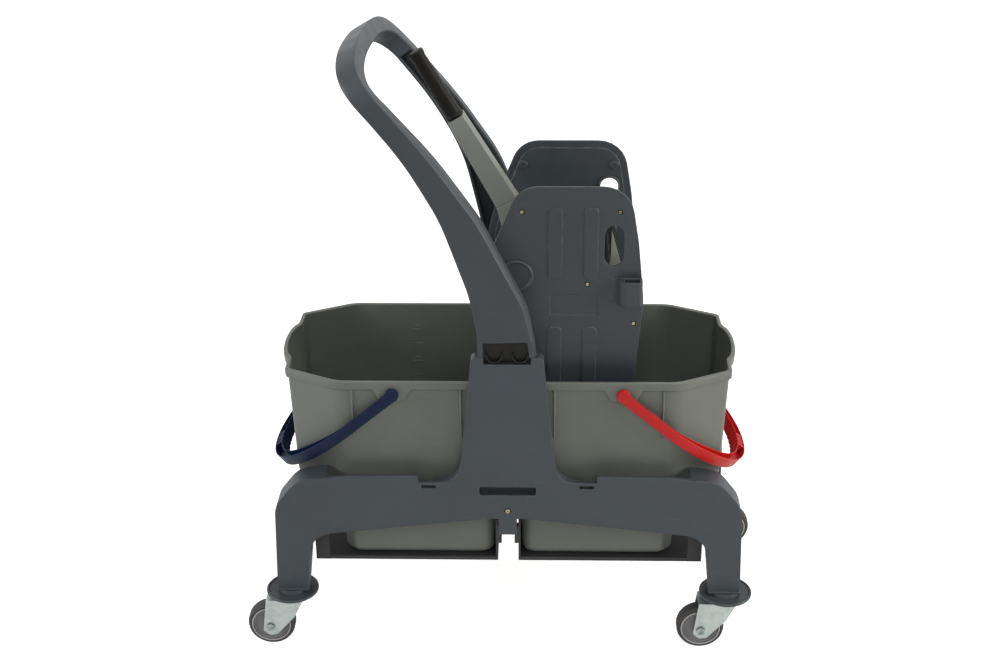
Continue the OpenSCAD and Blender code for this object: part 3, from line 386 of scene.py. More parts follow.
# Screws: small pan heads in the frames and wringer plates, yellow passivated, and bright zinc
# ones that hold the trays. Fine turning marks, a little tarnish, and painted shade on the brass heads' rims.
def metal_group():
    """Skin of plated steel: faint spangle cells, fine drawn lines and cloudy tarnish in colour and roughness. Rim
    paints shade in the tarnish colour on the sloped rims of screw heads, which face away from the axis along Y."""
    tree, given, result = group_of(
        "plated_skin", {"Colour": linear(190, 198, 197), "Tarnish": linear(140, 146, 146), "Roughness": 0.3,
                        "Spangle": 0.5, "Rim": 0.0},
        SKIN)
    cells = tree.nodes.new("ShaderNodeTexVoronoi")
    cells.inputs["Scale"].default_value = 260
    place = tree.nodes.new("ShaderNodeTexCoord")
    tree.links.new(place.outputs["Object"], cells.inputs["Vector"])
    grey = tree.nodes.new("ShaderNodeRGBToBW")
    tree.links.new(cells.outputs["Color"], grey.inputs["Color"])
    spangle = sums(tree, "MULTIPLY", band(tree, grey.outputs["Val"], 0.2, 0.8), given.outputs["Spangle"])
    stain = band(tree, noise(tree, 60, 4), 0.45, 0.75)
    facing = tree.nodes.new("ShaderNodeSeparateXYZ")
    tree.links.new(tree.nodes.new("ShaderNodeNewGeometry").outputs["Normal"], facing.inputs[0])
    # painted shade: faces turned away from the Y axis, the sloped rims of heads, go towards the tarnish colour
    rim = sums(tree, "MULTIPLY", band(tree, sums(tree, "ABSOLUTE", facing.outputs["Y"], 0), 0.96, 0.85),
               given.outputs["Rim"])
    dull_and_rim_shade = sums(tree, "ADD", sums(tree, "ADD", sums(tree, "MULTIPLY", spangle, 0.5), stain), rim)
    dull_and_rim_shade = sums(tree, "MINIMUM", dull_and_rim_shade, 1.0)
    rough = sums(tree, "ADD", given.outputs["Roughness"], sums(tree, "MULTIPLY", dull_and_rim_shade, 0.16))
    drawn = sums(tree, "ADD", noise(tree, 300, 2, (1, 1, 9)), sums(tree, "MULTIPLY", spangle, 0.3))
    join(tree, (blend(tree, dull_and_rim_shade, given.outputs["Colour"], given.outputs["Tarnish"]), result.inputs["Colour"]),
         (rough, result.inputs["Roughness"]), (drawn, result.inputs["Height"]))


metal_group()
PLATING = (0.08, 0.0002)
# brass heads: painted shade on their sloped rims
brass = finish_of("brass_screw", "plated_skin", {"Colour": linear(206, 192, 164), "Tarnish": linear(74, 62, 46),
                  "Roughness": 0.32, "Spangle": 0.2, "Rim": 1.0}, (0.1, 0.0002), edge=0.0004, Metallic=1.0)
zinc = finish_of("zinc_steel", "plated_skin", {"Colour": linear(196, 206, 205), "Tarnish": linear(176, 186, 185),
                 "Roughness": 0.36}, PLATING, edge=0.0008, Metallic=0.85)
dress(brass, "frame_screws", "plate_screws")
dress(zinc, "tray_screws")


# Casters: stems, pressed forks and axle bolts of bright zinc plated steel, turning under the
# bumper discs. The fork cheeks are folded from one sheet, and the bolts are duller at their rims, with painted shade
# there.
dress(zinc, *(f"{part}_{corner}" for part in ("stem", "fork") for corner in CORNERS))
# axle bolts: painted shade on their rims
axle_zinc = finish_of("axle_zinc", "plated_skin", {"Colour": linear(188, 198, 198), "Tarnish": linear(84, 90, 90),
                      "Spangle": 0.6, "Rim": 1.0}, PLATING, edge=0.0006, Metallic=0.85)
dress(axle_zinc, *(f"axle_{corner}" for corner in CORNERS))


# Wheels: a grey moulded hub with a paler rim flange that grips a dark grey thermoplastic tyre,
# pressed on. The tyre is dusty in patches.
def rubber_group():
    """Skin of soft plastic: fine mottling, pale dust gathered by large noise, and a fine bloom in the bump."""
    tree, given, result = group_of(
        "rubber_skin", {"Colour": linear(50, 49, 48), "Dust": linear(80, 77, 74), "Roughness": 0.6, "Dusty": 0.4},
        SKIN)
    dusty = sums(tree, "MULTIPLY", band(tree, noise(tree, 55, 5), 0.42, 0.72), given.outputs["Dusty"])
    speck = band(tree, noise(tree, 900, 3), 0.35, 0.75, -0.05, 0.05)
    rough = sums(tree, "ADD", given.outputs["Roughness"], speck)
    rough = sums(tree, "ADD", rough, sums(tree, "MULTIPLY", dusty, 0.2))
    join(tree, (blend(tree, dusty, given.outputs["Colour"], given.outputs["Dust"]), result.inputs["Colour"]),
         (rough, result.inputs["Roughness"]), (noise(tree, 1300, 3), result.inputs["Height"]))


def turned(profile, centre, steps):
    """Surface of revolution about a line along Y through centre: each (radius, y) of the closed profile goes
    round in even steps."""
    turn = np.linspace(0, 2 * np.pi, steps, endpoint=False)
    r, y = np.asarray(profile, float)[:, :1], np.asarray(profile, float)[:, 1:]
    flat = np.stack([r * np.cos(turn), np.broadcast_to(y, (len(r), steps)), r * np.sin(turn)], -1)
    return flat + np.asarray(centre)


rubber_group()
tyre_grey = finish_of("tyre_grey", "rubber_skin", {}, (0.12, 0.0003), Specular_IOR_Level=0.35)
hub_grey = finish_of("hub_plastic", "moulded_skin", {"Colour": linear(112, 111, 114), "Rubbed": linear(150, 150, 152),
                     "Roughness": 0.34}, GRAIN, Specular_IOR_Level=0.5)
rim_grey = finish_of("rim_plastic", "moulded_skin", {"Colour": linear(160, 159, 161), "Rubbed": linear(190, 190, 190),
                     "Roughness": 0.34}, GRAIN, edge=0.0005, Specular_IOR_Level=0.5)
dress(tyre_grey, *(f"tyre_{corner}" for corner in CORNERS))
dress(hub_grey, *(f"hub_{corner}" for corner in CORNERS))
RIM = np.array([(28.7, 10.6), (28.8, 12.0), (29.3, 12.5), (30.4, 12.5), (31.0, 12.2), (31.2, 11.6),
                (30.0, 11.4)]) / 1000
DISC = np.array([(9.6, 7.0), (9.8, 9.6), (11.0, 9.9), (19.0, 9.2), (27.2, 9.9), (28.9, 10.9), (28.9, 8.5),
                 (19.0, 7.6)]) / 1000
for corner in CORNERS:
    low, high = (np.array(p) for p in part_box(f"tyre_{corner}"))
    for part, profile, material in (("rim_flange", RIM, rim_grey), ("hub_disc", DISC, hub_grey)):
        rings = [(turned(profile * (1, side), (low + high) / 2, 96), True) for side in (-1, 1)]
        mesh_piece(f"{part}_{corner}", rings, material, f"wheel_{corner}")


# Push handle: two channel legs, open inwards, and a squared grip bow in one slate moulding. The
# legs plug into the uprights, where black latches with two spring tabs lock them behind a window.
def ease(t):
    """Smooth step: three t squared less two t cubed, held between 0 and 1."""
    t = np.clip(t, 0, 1)
    return t * t * (3 - 2 * t)


def along(line, at):
    """Points of a line at the given shares of its length."""
    run = np.concatenate([[0], np.cumsum(np.linalg.norm(np.diff(line, axis=0), axis=1))])
    return np.stack([np.interp(np.asarray(at) * run[-1], run, axis) for axis in line.T], -1)


LEG = np.array([(43.5, 519, 0.01), (41, 545, 150), (30.5, 598, 120), (-27, 728, 250), (-88.6, 818.3, 600),
                (-165, 905, 0.01), (-187, 887.5, 0.01), (-131, 816, 500), (-84, 731, 300), (-51, 617, 200),
                (-43.3, 556, 80), (-43, 519, 0.01)]) / 1000
LEG_Y, LEG_TURN, TURN_FROM, TURN_OVER = 0.149, 0.0105, 0.52, 0.24
LEG_WALL, HANDLE_HALF, HANDLE_EDGE, SHUT = 0.004, 0.013, 0.003, 1e-6
WINDOW_TOP, TONGUE_TOP, CHANNEL_END, STEP_LONG = 0.056, 0.097, 0.970, 2e-4
WINDOW_LEFT, WINDOW_RIGHT, WINDOW_DEEP, WINDOW_ROUND = 0.008, 0.011, 0.009, 0.0006
CHANNEL_DEEP, TONGUE_DEEP, CHANNEL_EDGE, CHANNEL_ROUND = 0.022, 0.011, 0.0014, 0.0008
SLOPE_WIDE, SLOPE_DEEP, SLOPE_FROM, SLOPE_OVER, SLOPE_LEAST = 0.0038, 0.0078, 0.7, 0.27, 0.0012
FOOT_RELIEF, RELIEF_FROM, RELIEF_OVER = 0.0065, 0.05, 0.06
BOW_FOOT, BOW_RISE, BOW_KNEE, BOW_TURN = np.array([-0.1766, 0.8965]), 0.0613, 0.48, 1.06
BOW_POWER, BOW_THIN, BOW_THICK = 2 / 2.484, 0.028, 0.034
BOW_START, BOW_LAST = (np.array([math.cos(a), math.sin(a)]) for a in np.radians([136.04, 127.35]))


def leg_stations(side):
    """Centre, two directions and two half sizes of the leg's section from its foot up: the first direction runs from
    the left edge of the drawn leg to its right one, the second outwards; and the shares of the length."""
    steps = np.array([WINDOW_TOP, TONGUE_TOP, CHANNEL_END])
    at = np.sort(np.concatenate([np.linspace(0, 0.995, 120), steps - STEP_LONG, steps + STEP_LONG]))
    drawn = LEG[:, :2] + np.stack([side * LEG_TURN * ease((LEG[:, 1] - TURN_FROM) / TURN_OVER), 0 * LEG[:, 1]], -1)
    edge = rounded(drawn, LEG[:, 2], 12).reshape(12, 13, 2)
    right, left = along(edge[:6].reshape(-1, 2), at), along(edge[6:].reshape(-1, 2)[::-1], at)
    wide = np.linalg.norm(right - left, axis=1)
    flat = np.full(len(at), side * 1.0)
    centre = np.stack([(left + right)[:, 0] / 2, flat * LEG_Y, (left + right)[:, 1] / 2], -1)
    return [centre, np.stack([(right - left)[:, 0] / wide, 0 * flat, (right - left)[:, 1] / wide], -1),
            np.stack([0 * flat, flat, 0 * flat], -1), wide / 2, 0 * wide + HANDLE_HALF, at]


def bow_stations(count):
    """The same for the bow: a superellipse from leg to leg, whose rise follows a curve of second degree."""
    a = np.linspace(-np.pi / 2, np.pi / 2, 400)
    rise = np.abs(np.cos(a))[:, None] ** BOW_POWER
    y = np.sign(np.sin(a)) * np.abs(np.sin(a)) ** BOW_POWER
    knee, crown = BOW_FOOT + BOW_KNEE * BOW_RISE * BOW_START, BOW_FOOT + BOW_RISE * BOW_LAST
    line = (1 - rise) ** 2 * BOW_FOOT + 2 * rise * (1 - rise) * knee + rise * rise * crown
    bent = np.stack([line[:, 0] + BOW_TURN * LEG_TURN * y, LEG_Y * y, line[:, 1]], -1)
    path = along(bent, np.linspace(0, 1, count))
    share = (path[:, :1] - LEG_TURN * path[:, 1:2] / LEG_Y - BOW_FOOT[0]) / (crown - BOW_FOOT)[0]
    share = np.clip(share, 0, 1)
    slope = (knee - BOW_FOOT) * (1 - share) + (crown - knee) * share
    slope /= np.linalg.norm(slope, axis=1, keepdims=True)
    top = np.stack([slope[:, 1], 0 * slope[:, 0], -slope[:, 0]], -1)
    out = np.cross(top, np.gradient(path, axis=0))
    out /= np.linalg.norm(out, axis=1, keepdims=True)
    thick = (BOW_THIN + (BOW_THICK - BOW_THIN) * share[:, 0]) / 2
    return [part[2:-2] for part in (path, top, out, thick, 0 * thick + HANDLE_HALF, 0 * thick + 1)]


BLEND_REACH, BLEND_ROUNDS = 12, 40


def handle_grid():
    """Squared section with rounded edges, carried up one leg, round the bow and down the other leg; a deep channel is
    sunk into the legs from inside, the window into their feet from outside, and the right edge is sloped, at the foot
    also inwards, where the hook of the wringer's plate passes. Where leg and bow meet, each station is drawn towards
    the mean of its neighbours."""
    front, rear = leg_stations(-1), [part[::-1] for part in leg_stations(1)]
    bow = bow_stations(110)
    path = [np.concatenate(parts) for parts in zip(front, bow, rear)]
    step = np.arange(len(path[0]))
    joint = len(front[0]), len(front[0]) + len(bow[0]) - 1
    near = np.clip(1.5 - np.min([np.abs(step - j) for j in joint], 0) / BLEND_REACH, 0, 1)[1:-1]
    for value in path[:5]:
        for _ in range(BLEND_ROUNDS):
            pull = (value[:-2] + value[2:]) / 2 - value[1:-1]
            value[1:-1] += 0.5 * (near if value.ndim == 1 else near[:, None]) * pull
    centre, across, out, a, b, at = path
    sunk = np.where(at > CHANNEL_END, SHUT, np.where(at > TONGUE_TOP, CHANNEL_DEEP, TONGUE_DEEP))
    window = np.where(at > WINDOW_TOP, SHUT, WINDOW_DEEP)
    left, right, inner = WINDOW_LEFT - a, a - WINDOW_RIGHT, a - LEG_WALL
    slope = 1 - ease((at - SLOPE_FROM) / SLOPE_OVER)
    relief = FOOT_RELIEF * (1 - ease((at - RELIEF_FROM) / RELIEF_OVER))
    corners = np.stack([np.stack(p, -1) for p in (
        (-a, b), (left, b), (left, b - window), (right, b - window), (right, b),
        (a - SLOPE_LEAST - SLOPE_WIDE * slope, b), (a, b - SLOPE_LEAST - SLOPE_DEEP * slope), (a - relief, -b),
        (inner - relief, -b), (inner - relief, sunk - b), (-inner, sunk - b), (-inner, -b), (-a, -b))], -2)
    edge, rim = 0 * a + HANDLE_EDGE, np.where(at < CHANNEL_END, CHANNEL_EDGE, HANDLE_EDGE)
    sharp, cut = np.minimum(0.4 * sunk, CHANNEL_ROUND), np.minimum(0.4 * window, WINDOW_ROUND)
    radii = np.stack([edge, cut, cut, cut, cut, edge / 2, edge / 2, rim, sharp, sharp, sharp, sharp, rim], -1)
    ring = rounded(corners, radii, 5)
    return centre[:, None] + across[:, None] * ring[..., :1] + out[:, None] * ring[..., 1:]


TONGUE_HALF, TONGUE_Y, TONGUE_Z, TONGUE_ROUND = 0.040, (0.147, 0.1529), (0.4556, 0.5190), 0.001
tongue = rounded(rect(-TONGUE_HALF, TONGUE_HALF, *TONGUE_Y), TONGUE_ROUND, 3)
tongue = np.stack([np.concatenate([tongue, 0 * tongue[:, :1] + z], 1) for z in TONGUE_Z])
mesh_piece("handle_bow", [(handle_grid(), False), (tongue, False), (tongue * (1, -1, 1), False)], slate_fine,
           "chassis", "push_handle")
latch_black = finish_of("latch_plastic", "moulded_skin", {"Colour": linear(15, 14, 14), "Rubbed": linear(60, 60, 60),
                        "Roughness": 0.4}, GRAIN, edge=0.0005, Specular_IOR_Level=0.3)
dress(latch_black, "handle_latch_front", "handle_latch_rear")


# Buckets: two grey thick-walled injection mouldings with a stepped end wall, chamfered outer
# corners, a pouring spout, a hollow turned-down rim, bail bosses, fins and litre marks inside.
low, high = (np.array(p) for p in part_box("bucket_right"))
BUCKET_WALL, RIM_LIP, RIM_DEEP, RIM_GAP, TAPER = 0.0025, 0.0035, 0.013, 0.0003, 0.0125
FLOOR_NEAR, SHOULDER, SHOULDER_RISE, STEP_IN, STEP_DRAFT, END_DRAFT = 0.022, 0.094, 0.038, 0.082, 0.018, 0.0095
SPOUT, SPOUT_FOOT, SPOUT_HALF, SPOUT_SOFT = 0.0135, 0.190, 0.057, 0.01
CHAMFER_X, CHAMFER_Y, CHAMFER_ROUND = (0.016, 0.063), (0.015, 0.025), (0.012, 0.043)
CORNER_ROUND, END_ROUND = (0.018, 0.010), 0.010
bucket_floor, rim_top = low[2], high[2]
bucket_high = rim_top - bucket_floor
bucket_near, bucket_far = low[0], high[0] - SPOUT
wall_y = high[1] - RIM_GAP - RIM_LIP
BAIL_X, BAIL_Z = 0.1725, 0.4470


def bucket_rings(z, off, lag):
    """Outline of the bucket at each height, moved out by off: six rounded corners, of which the outer two pairs are a
    chamfer; below the shoulder, which lies higher by lag, the end wall steps in, and a half ellipse with softened
    ends bulges as the spout. Chamfer and corner sizes are a base and what height adds to it."""
    t, g = (z - bucket_floor) / bucket_high, ease((z - lag - bucket_floor - SHOULDER) / SHOULDER_RISE)
    x0 = FLOOR_NEAR + (bucket_near + RIM_LIP - FLOOR_NEAR) * t - off
    deep = bucket_far - STEP_IN + STEP_DRAFT * t
    x1 = deep + (bucket_far - RIM_LIP - END_DRAFT * (1 - t) - deep) * g + off
    w = wall_y - TAPER * (1 - t) + off
    cx, cy, soft = (base + more * g for base, more in (CHAMFER_X, CHAMFER_Y, CHAMFER_ROUND))
    r, sharp = CORNER_ROUND[0] + CORNER_ROUND[1] * t, 0 * t + END_ROUND
    b = SPOUT * ease((z - bucket_floor - SPOUT_FOOT) / (bucket_high - SPOUT_FOOT))
    corners = np.stack([np.stack(p, -1) for p in ((x0, -w), (x1 - cx, -w), (x1, cy - w), (x1, w - cy), (x1 - cx, w),
                                                  (x0, w))], -2)
    radii = np.stack([r, soft, sharp, sharp, soft, r], -1)
    arcs = rounded(corners, radii, 8).reshape(len(z), 6, 9, 2)

    def between(i, j, count):
        """Points at even steps from the end of one arc to the start of another."""
        s = np.linspace(0, 1, count + 2)[1:-1, None]
        return arcs[:, i, -1:] * (1 - s) + arcs[:, j, :1] * s

    end = between(2, 3, 61)
    e = 1 - (end[..., 1] / (SPOUT_HALF + off[:, None])) ** 2
    bulge = np.sqrt((e + np.sqrt(e * e + SPOUT_SOFT)) / 2)
    end[..., 0] += b[:, None] * (bulge - bulge[:, :1]) / (bulge.max(1, keepdims=True) - bulge[:, :1])
    return np.concatenate([arcs[:, 0], between(0, 1, 90), arcs[:, 1], arcs[:, 2], end, arcs[:, 3], arcs[:, 4],
                           between(4, 5, 90), arcs[:, 5]], 1)


def quarter(off, z, radius, start, steps=6, turn=1):
    """Quarter arc of a profile about (off, z), from the start angle in right angles, to the left or, with turn -1,
    to the right."""
    a = np.linspace(start, start + turn, steps) * np.pi / 2
    return np.stack([off + radius * np.cos(a), z + radius * np.sin(a)], -1)


WALL_STEPS, ROUND_STEPS, FLOOR_ROUND, FLOOR_ROUND_IN, INNER_LAG = 74, 9, 0.011, 0.0085, 0.0022
OUTER_FROM, OUTER_UNDER, INNER_FROM, INNER_UNDER = 0.012, 0.0135, 0.013, 0.004
RIM_THICK, SKIRT_WALL, SKIRT_FOOT, SKIRT_ROUND, CROWN_OUT, CROWN_IN = 0.003, 0.0024, 0.002, 0.0008, 0.0018, 0.0012
BOSS_DIP, BOSS_HALF, BOSS_SLOPE = 0.0183, 0.0285, 0.010


def bucket_grid():
    """The wall as one skin, from the outer floor up the outside, round the rim and down the inside: every profile
    point (off, height) becomes a ring; the rim's lower edge dips in a trapezium at the bail bosses."""
    top, skirt = rim_top, rim_top - RIM_DEEP
    round_z = bucket_floor + FLOOR_ROUND
    outer = np.linspace(bucket_floor + OUTER_FROM, top - OUTER_UNDER, WALL_STEPS)
    inner = np.linspace(top - INNER_UNDER, bucket_floor + INNER_FROM, WALL_STEPS)
    profile = np.concatenate([
        quarter(-FLOOR_ROUND, round_z, FLOOR_ROUND, -1, ROUND_STEPS), np.stack([outer * 0, outer], -1),
        [(0, top - RIM_THICK), (RIM_LIP - SKIRT_WALL, top - RIM_THICK), (RIM_LIP - SKIRT_WALL, skirt + SKIRT_FOOT)],
        quarter(RIM_LIP - 2 * SKIRT_ROUND, skirt + SKIRT_ROUND, SKIRT_ROUND, 2, 4),
        quarter(RIM_LIP - SKIRT_ROUND, skirt + SKIRT_ROUND, SKIRT_ROUND, 3, 4),
        quarter(RIM_LIP - CROWN_OUT, top - CROWN_OUT, CROWN_OUT, 0),
        quarter(CROWN_IN - BUCKET_WALL, top - CROWN_IN, CROWN_IN, 1),
        np.stack([inner * 0 - BUCKET_WALL, inner], -1),
        quarter(-FLOOR_ROUND, round_z, FLOOR_ROUND_IN, 0, ROUND_STEPS, -1)])
    off, z = profile[:, 0], profile[:, 1]
    inside = np.arange(len(z)) >= len(z) - WALL_STEPS - ROUND_STEPS
    flat = bucket_rings(z, off, np.where(inside, INNER_LAG, 0.0))
    dip = BOSS_DIP * np.clip((BOSS_HALF - np.abs(flat[..., 0] - BAIL_X)) / BOSS_SLOPE, 0, 1)
    side = np.abs(flat[..., 1]) > wall_y + RIM_GAP
    edge = ((z < skirt + SKIRT_FOOT + 0.0001) & (off > 0))[:, None]
    heights = z[:, None] - np.where(side & edge, dip, 0)
    return np.concatenate([flat, heights[..., None]], -1)


RIDGE_ROOT, RIDGE_TAPER = 0.0009, 14


def ridge(start, end, width, rise, out_low, out_high, steps=24):
    """A raised line on a wall: a squarish rounded section of the width and rise, closed a little below the wall and
    tapered to its ends, carried from start to end; out_low and out_high point away from the wall at the ends."""
    s = np.linspace(0, 1, steps)[:, None, None]
    a = np.linspace(0, 2 * np.pi, 16, endpoint=False)[None, :, None]
    start, end = np.asarray(start, float), np.asarray(end, float)
    ahead = (end - start) / np.linalg.norm(end - start)
    outward = np.asarray(out_low, float) * (1 - s) + np.asarray(out_high, float) * s
    across = np.cross(ahead, np.broadcast_to(outward, (steps, 1, 3)))
    fade = np.minimum(1, np.minimum(s, 1 - s) * RIDGE_TAPER) ** 0.5
    x, y = (np.sign(w) * np.abs(w) ** 0.5 for w in (np.cos(a), np.sin(a)))
    section = across * x * width / 2 + outward * y * np.where(y > 0, rise, RIDGE_ROOT)
    return start + (end - start) * s + fade * section


def inner_wall(z):
    """Y of the inside of the long walls at height z."""
    return wall_y - TAPER * (1 - (z - bucket_floor) / bucket_high) - BUCKET_WALL


def mirrored(parts):
    """The same grids for the left side of the trolley."""
    return [(grid * (-1.0, 1.0, 1.0), loop) for grid, loop in parts]


# bucket finish: edges painted pale, partly as wear and partly as a painted highlight on the rim; painted shade under
# the lip and round the fins
warm = finish_of("bucket_plastic", "moulded_skin", {"Colour": linear(102, 106, 100), "Rubbed": linear(156, 159, 152),
                 "Roughness": 0.46, "Cloud": 0.06, "Scuffs": 0.3, "Wear": 0.7, "Grime": 0.85}, GRAIN, edge=0.0012,
                 Specular_IOR_Level=0.4)
FIN_X, FIN_SPAN, FIN_SIZE, FIN_SEAT = (0.070, 0.233), (0.099, 0.009), 0.0034, 0.0022
MARKS = {0.429: 0.009, 0.422: 0.018, 0.397: 0.018, 0.372: 0.009, 0.365: 0.018, 0.340: 0.018, 0.322: 0.009,
         0.315: 0.018}
MARK_WIDE, MARK_RISE, MARK_SEAT, MARK_SHIFT = 0.0016, 0.0005, 0.0002, 0.018
bucket_parts = [(bucket_grid(), False)]
for side in (-1, 1):
    for fin_x in FIN_X:
        foot, head = ((fin_x, side * (inner_wall(rim_top - down) + FIN_SEAT), rim_top - down) for down in FIN_SPAN)
        fin = ridge(foot, head, FIN_SIZE, FIN_SIZE, (0, side * 0.6, 0), (0, side, 0), 40)
        bucket_parts.append((fin, False))
for mark_z, mark_l in MARKS.items():
    start, end = ((BAIL_X - MARK_SHIFT + half, inner_wall(mark_z) + MARK_SEAT, mark_z)
                  for half in (-mark_l / 2, mark_l / 2))
    bucket_parts.append((ridge(start, end, MARK_WIDE, MARK_RISE, (0, -1, 0), (0, -1, 0)), False))
mesh_piece("bucket_shell_right", bucket_parts, warm, "right_bucket", "bucket_right")
mesh_piece("bucket_shell_left", mirrored(bucket_parts), warm, "left_bucket", "bucket_left")


# Bails: hoops of blue and of red plastic, each a channel strip open upwards that swells to a
# hand grip with a waved inner wall and four blocks, snapped into the bosses by round studs.
BAIL_REACH, BAIL_TILT, BAIL_POWER, BAIL_CLEAR = 0.25913, math.radians(40), 2 / 2.12, 0.0067
BAIL_STRAIGHT, BAIL_CURVED = 0.34, 0.66
bail_out = high[1] + BAIL_CLEAR


def bail_line(count):
    """The strip's outer line in its own plane: straight from the pivot, then half a superellipse round the bucket,
    as (from the pivot, across), spaced evenly along its length."""
    a = np.linspace(-np.pi / 2, np.pi / 2, 1201)
    c, s = np.abs(np.cos(a)) ** BAIL_POWER, np.sign(np.sin(a)) * np.abs(np.sin(a)) ** BAIL_POWER
    straight = np.linspace(0, BAIL_STRAIGHT, 60, endpoint=False) * BAIL_REACH
    u = np.concatenate([straight, BAIL_REACH * (BAIL_STRAIGHT + BAIL_CURVED * c), straight[::-1]])
    v = np.concatenate([straight * 0 - bail_out, bail_out * s, straight * 0 + bail_out])
    run = np.concatenate([[0], np.cumsum(np.hypot(np.diff(u), np.diff(v)))])
    even = np.linspace(0, run[-1], count)
    return np.stack([np.interp(even, run, u), np.interp(even, run, v)], -1), even - run[-1] / 2


def hang(u, v, rise):
    """Points of the hoop's plane (from the pivot, across), raised from it by rise, in space: turned by the tilt."""
    c, s = math.cos(BAIL_TILT), math.sin(BAIL_TILT)
    return np.stack([BAIL_X + u * c + rise * s, v + 0 * rise, BAIL_Z - u * s + rise * c], -1)


BAIL_HALF, BAIL_LOWER, LOWER_TO, LOWER_OVER = 0.0095, 0.0027, 0.75, 0.4
STRIP_DEEP, GRIP_DEEPER, DEEPER_OVER, BAIL_WALL, BAIL_WEB = 0.006, 0.008, 0.36, 0.0013, -0.003
STRIP_ROUND = (0.0012, 0.0012, 0.0006, 0.0006, 0.0004, 0.0004, 0.0006, 0.0006)
GRIP_HALF, GRIP_EASE, WAVE_HIGH, WAVE_LONG, WAVE_DEEP, WAVE_EASE = 0.070, 0.012, 0.0018, 0.0150, 0.0035, 0.002
BLOCKS, BLOCK_STEP, BLOCK_HALF, BLOCK_DEEP, BLOCK_ROUND = 4, 0.0105, 0.0037, (0.0008, 0.0132), 0.0006
BLOCK_HEIGHTS = (BAIL_WEB - 0.0005, BAIL_HALF - 0.0012)
STUD = np.array([(0.2, 0.4), (10.1, 0.4), (10.1, 5.8), (9.6, 6.7), (8.4, 7.0), (6.2, 7.0), (5.6, 6.4),
                 (0.2, 6.4)]) / 1000


def bail_parts():
    """Channel section with rounded edges carried along the line; near the grip it deepens, and its inner wall waves
    inwards for the fingers. Four blocks that fill the channel there, and the pivot discs, are closed forms."""
    line, run = bail_line(420)
    share, zero = line[:, 0] / BAIL_REACH, 0 * run
    deep = STRIP_DEEP + GRIP_DEEPER * ease((share - BAIL_STRAIGHT) / DEEPER_OVER)
    wave = WAVE_HIGH * ease((GRIP_HALF - np.abs(run)) / GRIP_EASE) * np.abs(np.sin(np.pi * run / WAVE_LONG))
    top, web = BAIL_HALF - BAIL_LOWER * ease((LOWER_TO - share) / LOWER_OVER), zero + BAIL_WEB
    corners = np.stack([np.stack(p, -1) for p in (
        (zero - BAIL_HALF, zero), (zero - BAIL_HALF, deep), (top, deep), (top, deep - BAIL_WALL),
        (web, deep - BAIL_WALL), (web, zero + BAIL_WALL), (top, zero + BAIL_WALL), (top, zero))], -2)
    ring = rounded(corners, STRIP_ROUND, 3)
    ring[..., 1] += wave[:, None] * ease((ring[..., 1] - deep[:, None] + WAVE_DEEP) / WAVE_EASE)
    ahead = np.gradient(line, axis=0)
    ahead /= np.linalg.norm(ahead, axis=1, keepdims=True)
    u, v = line[:, :1] - ahead[:, 1:] * ring[..., 1], line[:, 1:] + ahead[:, :1] * ring[..., 1]
    parts = [(hang(u, v, ring[..., 0]), False)]
    box = rounded(rect(-BLOCK_HALF, BLOCK_HALF, *BLOCK_DEEP), BLOCK_ROUND, 2)
    for block in (np.arange(BLOCKS) - (BLOCKS - 1) / 2) * BLOCK_STEP:
        before = np.searchsorted(run, block) - 1
        ahead = line[before + 1] - line[before]
        ahead /= np.linalg.norm(ahead)
        spot = line[before] + ahead * box[:, :1] + np.array([-ahead[1], ahead[0]]) * box[:, 1:]
        parts.append((np.stack([hang(spot[:, 0], spot[:, 1], height) for height in BLOCK_HEIGHTS]), False))
    for side in (-1, 1):
        parts.append((turned(STUD * (1, side), (BAIL_X, side * high[1], BAIL_Z), 48), True))
    return parts


# bail finishes: painted shade darkens the channel's inside; edges painted pale, as wear and as a painted highlight
blue = finish_of("blue_plastic", "moulded_skin", {"Colour": linear(7, 25, 57), "Rubbed": linear(44, 60, 96),
                 "Roughness": 0.4, "Scuffs": 0.2, "Grime": 1.0}, GRAIN, edge=0.0005, Specular_IOR_Level=0.2)
red = finish_of("red_plastic", "moulded_skin", {"Colour": linear(185, 16, 14), "Rubbed": linear(214, 74, 62),
                "Roughness": 0.4, "Scuffs": 0.2, "Grime": 1.0}, GRAIN, edge=0.0005, Specular_IOR_Level=0.35)
hoop = bail_parts()
mesh_piece("bail_hoop_right", hoop, red, "right_bail", "bail_right")
mesh_piece("bail_hoop_left", mirrored(hoop), blue, "left_bail", "bail_left")


# Wringer: two slate side plates with raised pads and a finger window, round pivot covers and the
# bar that hangs it on the bucket rim. A steel tube keeps the plates apart, and a press jaw swings
# on a steel pin against the sieve wall, whose grey plastic is dark in the middle and pale at its ends.
# plate finish: pad and rib edges painted pale, partly as wear and partly as a painted highlight; painted shade in the
# crevices
slate_plate = finish_of("slate_plate", "moulded_skin", {"Colour": linear(55, 61, 66), "Rubbed": linear(122, 127, 130),
                        "Wear": 0.7, "Grime": 0.8}, GRAIN, edge=0.0022, Specular_IOR_Level=0.42)
dress(slate_plate, "plate_front", "plate_rear", "pivot_covers", "hanger_bar")
jaw_grey = finish_of("jaw_plastic", "moulded_skin", {"Colour": linear(86, 87, 82), "Rubbed": linear(112, 112, 107),
                     "Roughness": 0.5, "Cloud": 0.1, "Scuffs": 0.6}, GRAIN, Specular_IOR_Level=0.4)
sieve_grey = finish_of("sieve_plastic", "moulded_skin", {"Rubbed": linear(84, 86, 84)}, GRAIN, edge=0.0006,
                       Specular_IOR_Level=0.3)
SIEVE_ENDS_BAND, SIEVE_MIDDLE, SIEVE_PALE = (0.073, 0.077), linear(42, 44, 43), linear(132, 133, 127)
tree = sieve_grey.node_tree
ends = tree.nodes.new("ShaderNodeSeparateXYZ")
tree.links.new(tree.nodes.new("ShaderNodeTexCoord").outputs["Object"], ends.inputs[0])
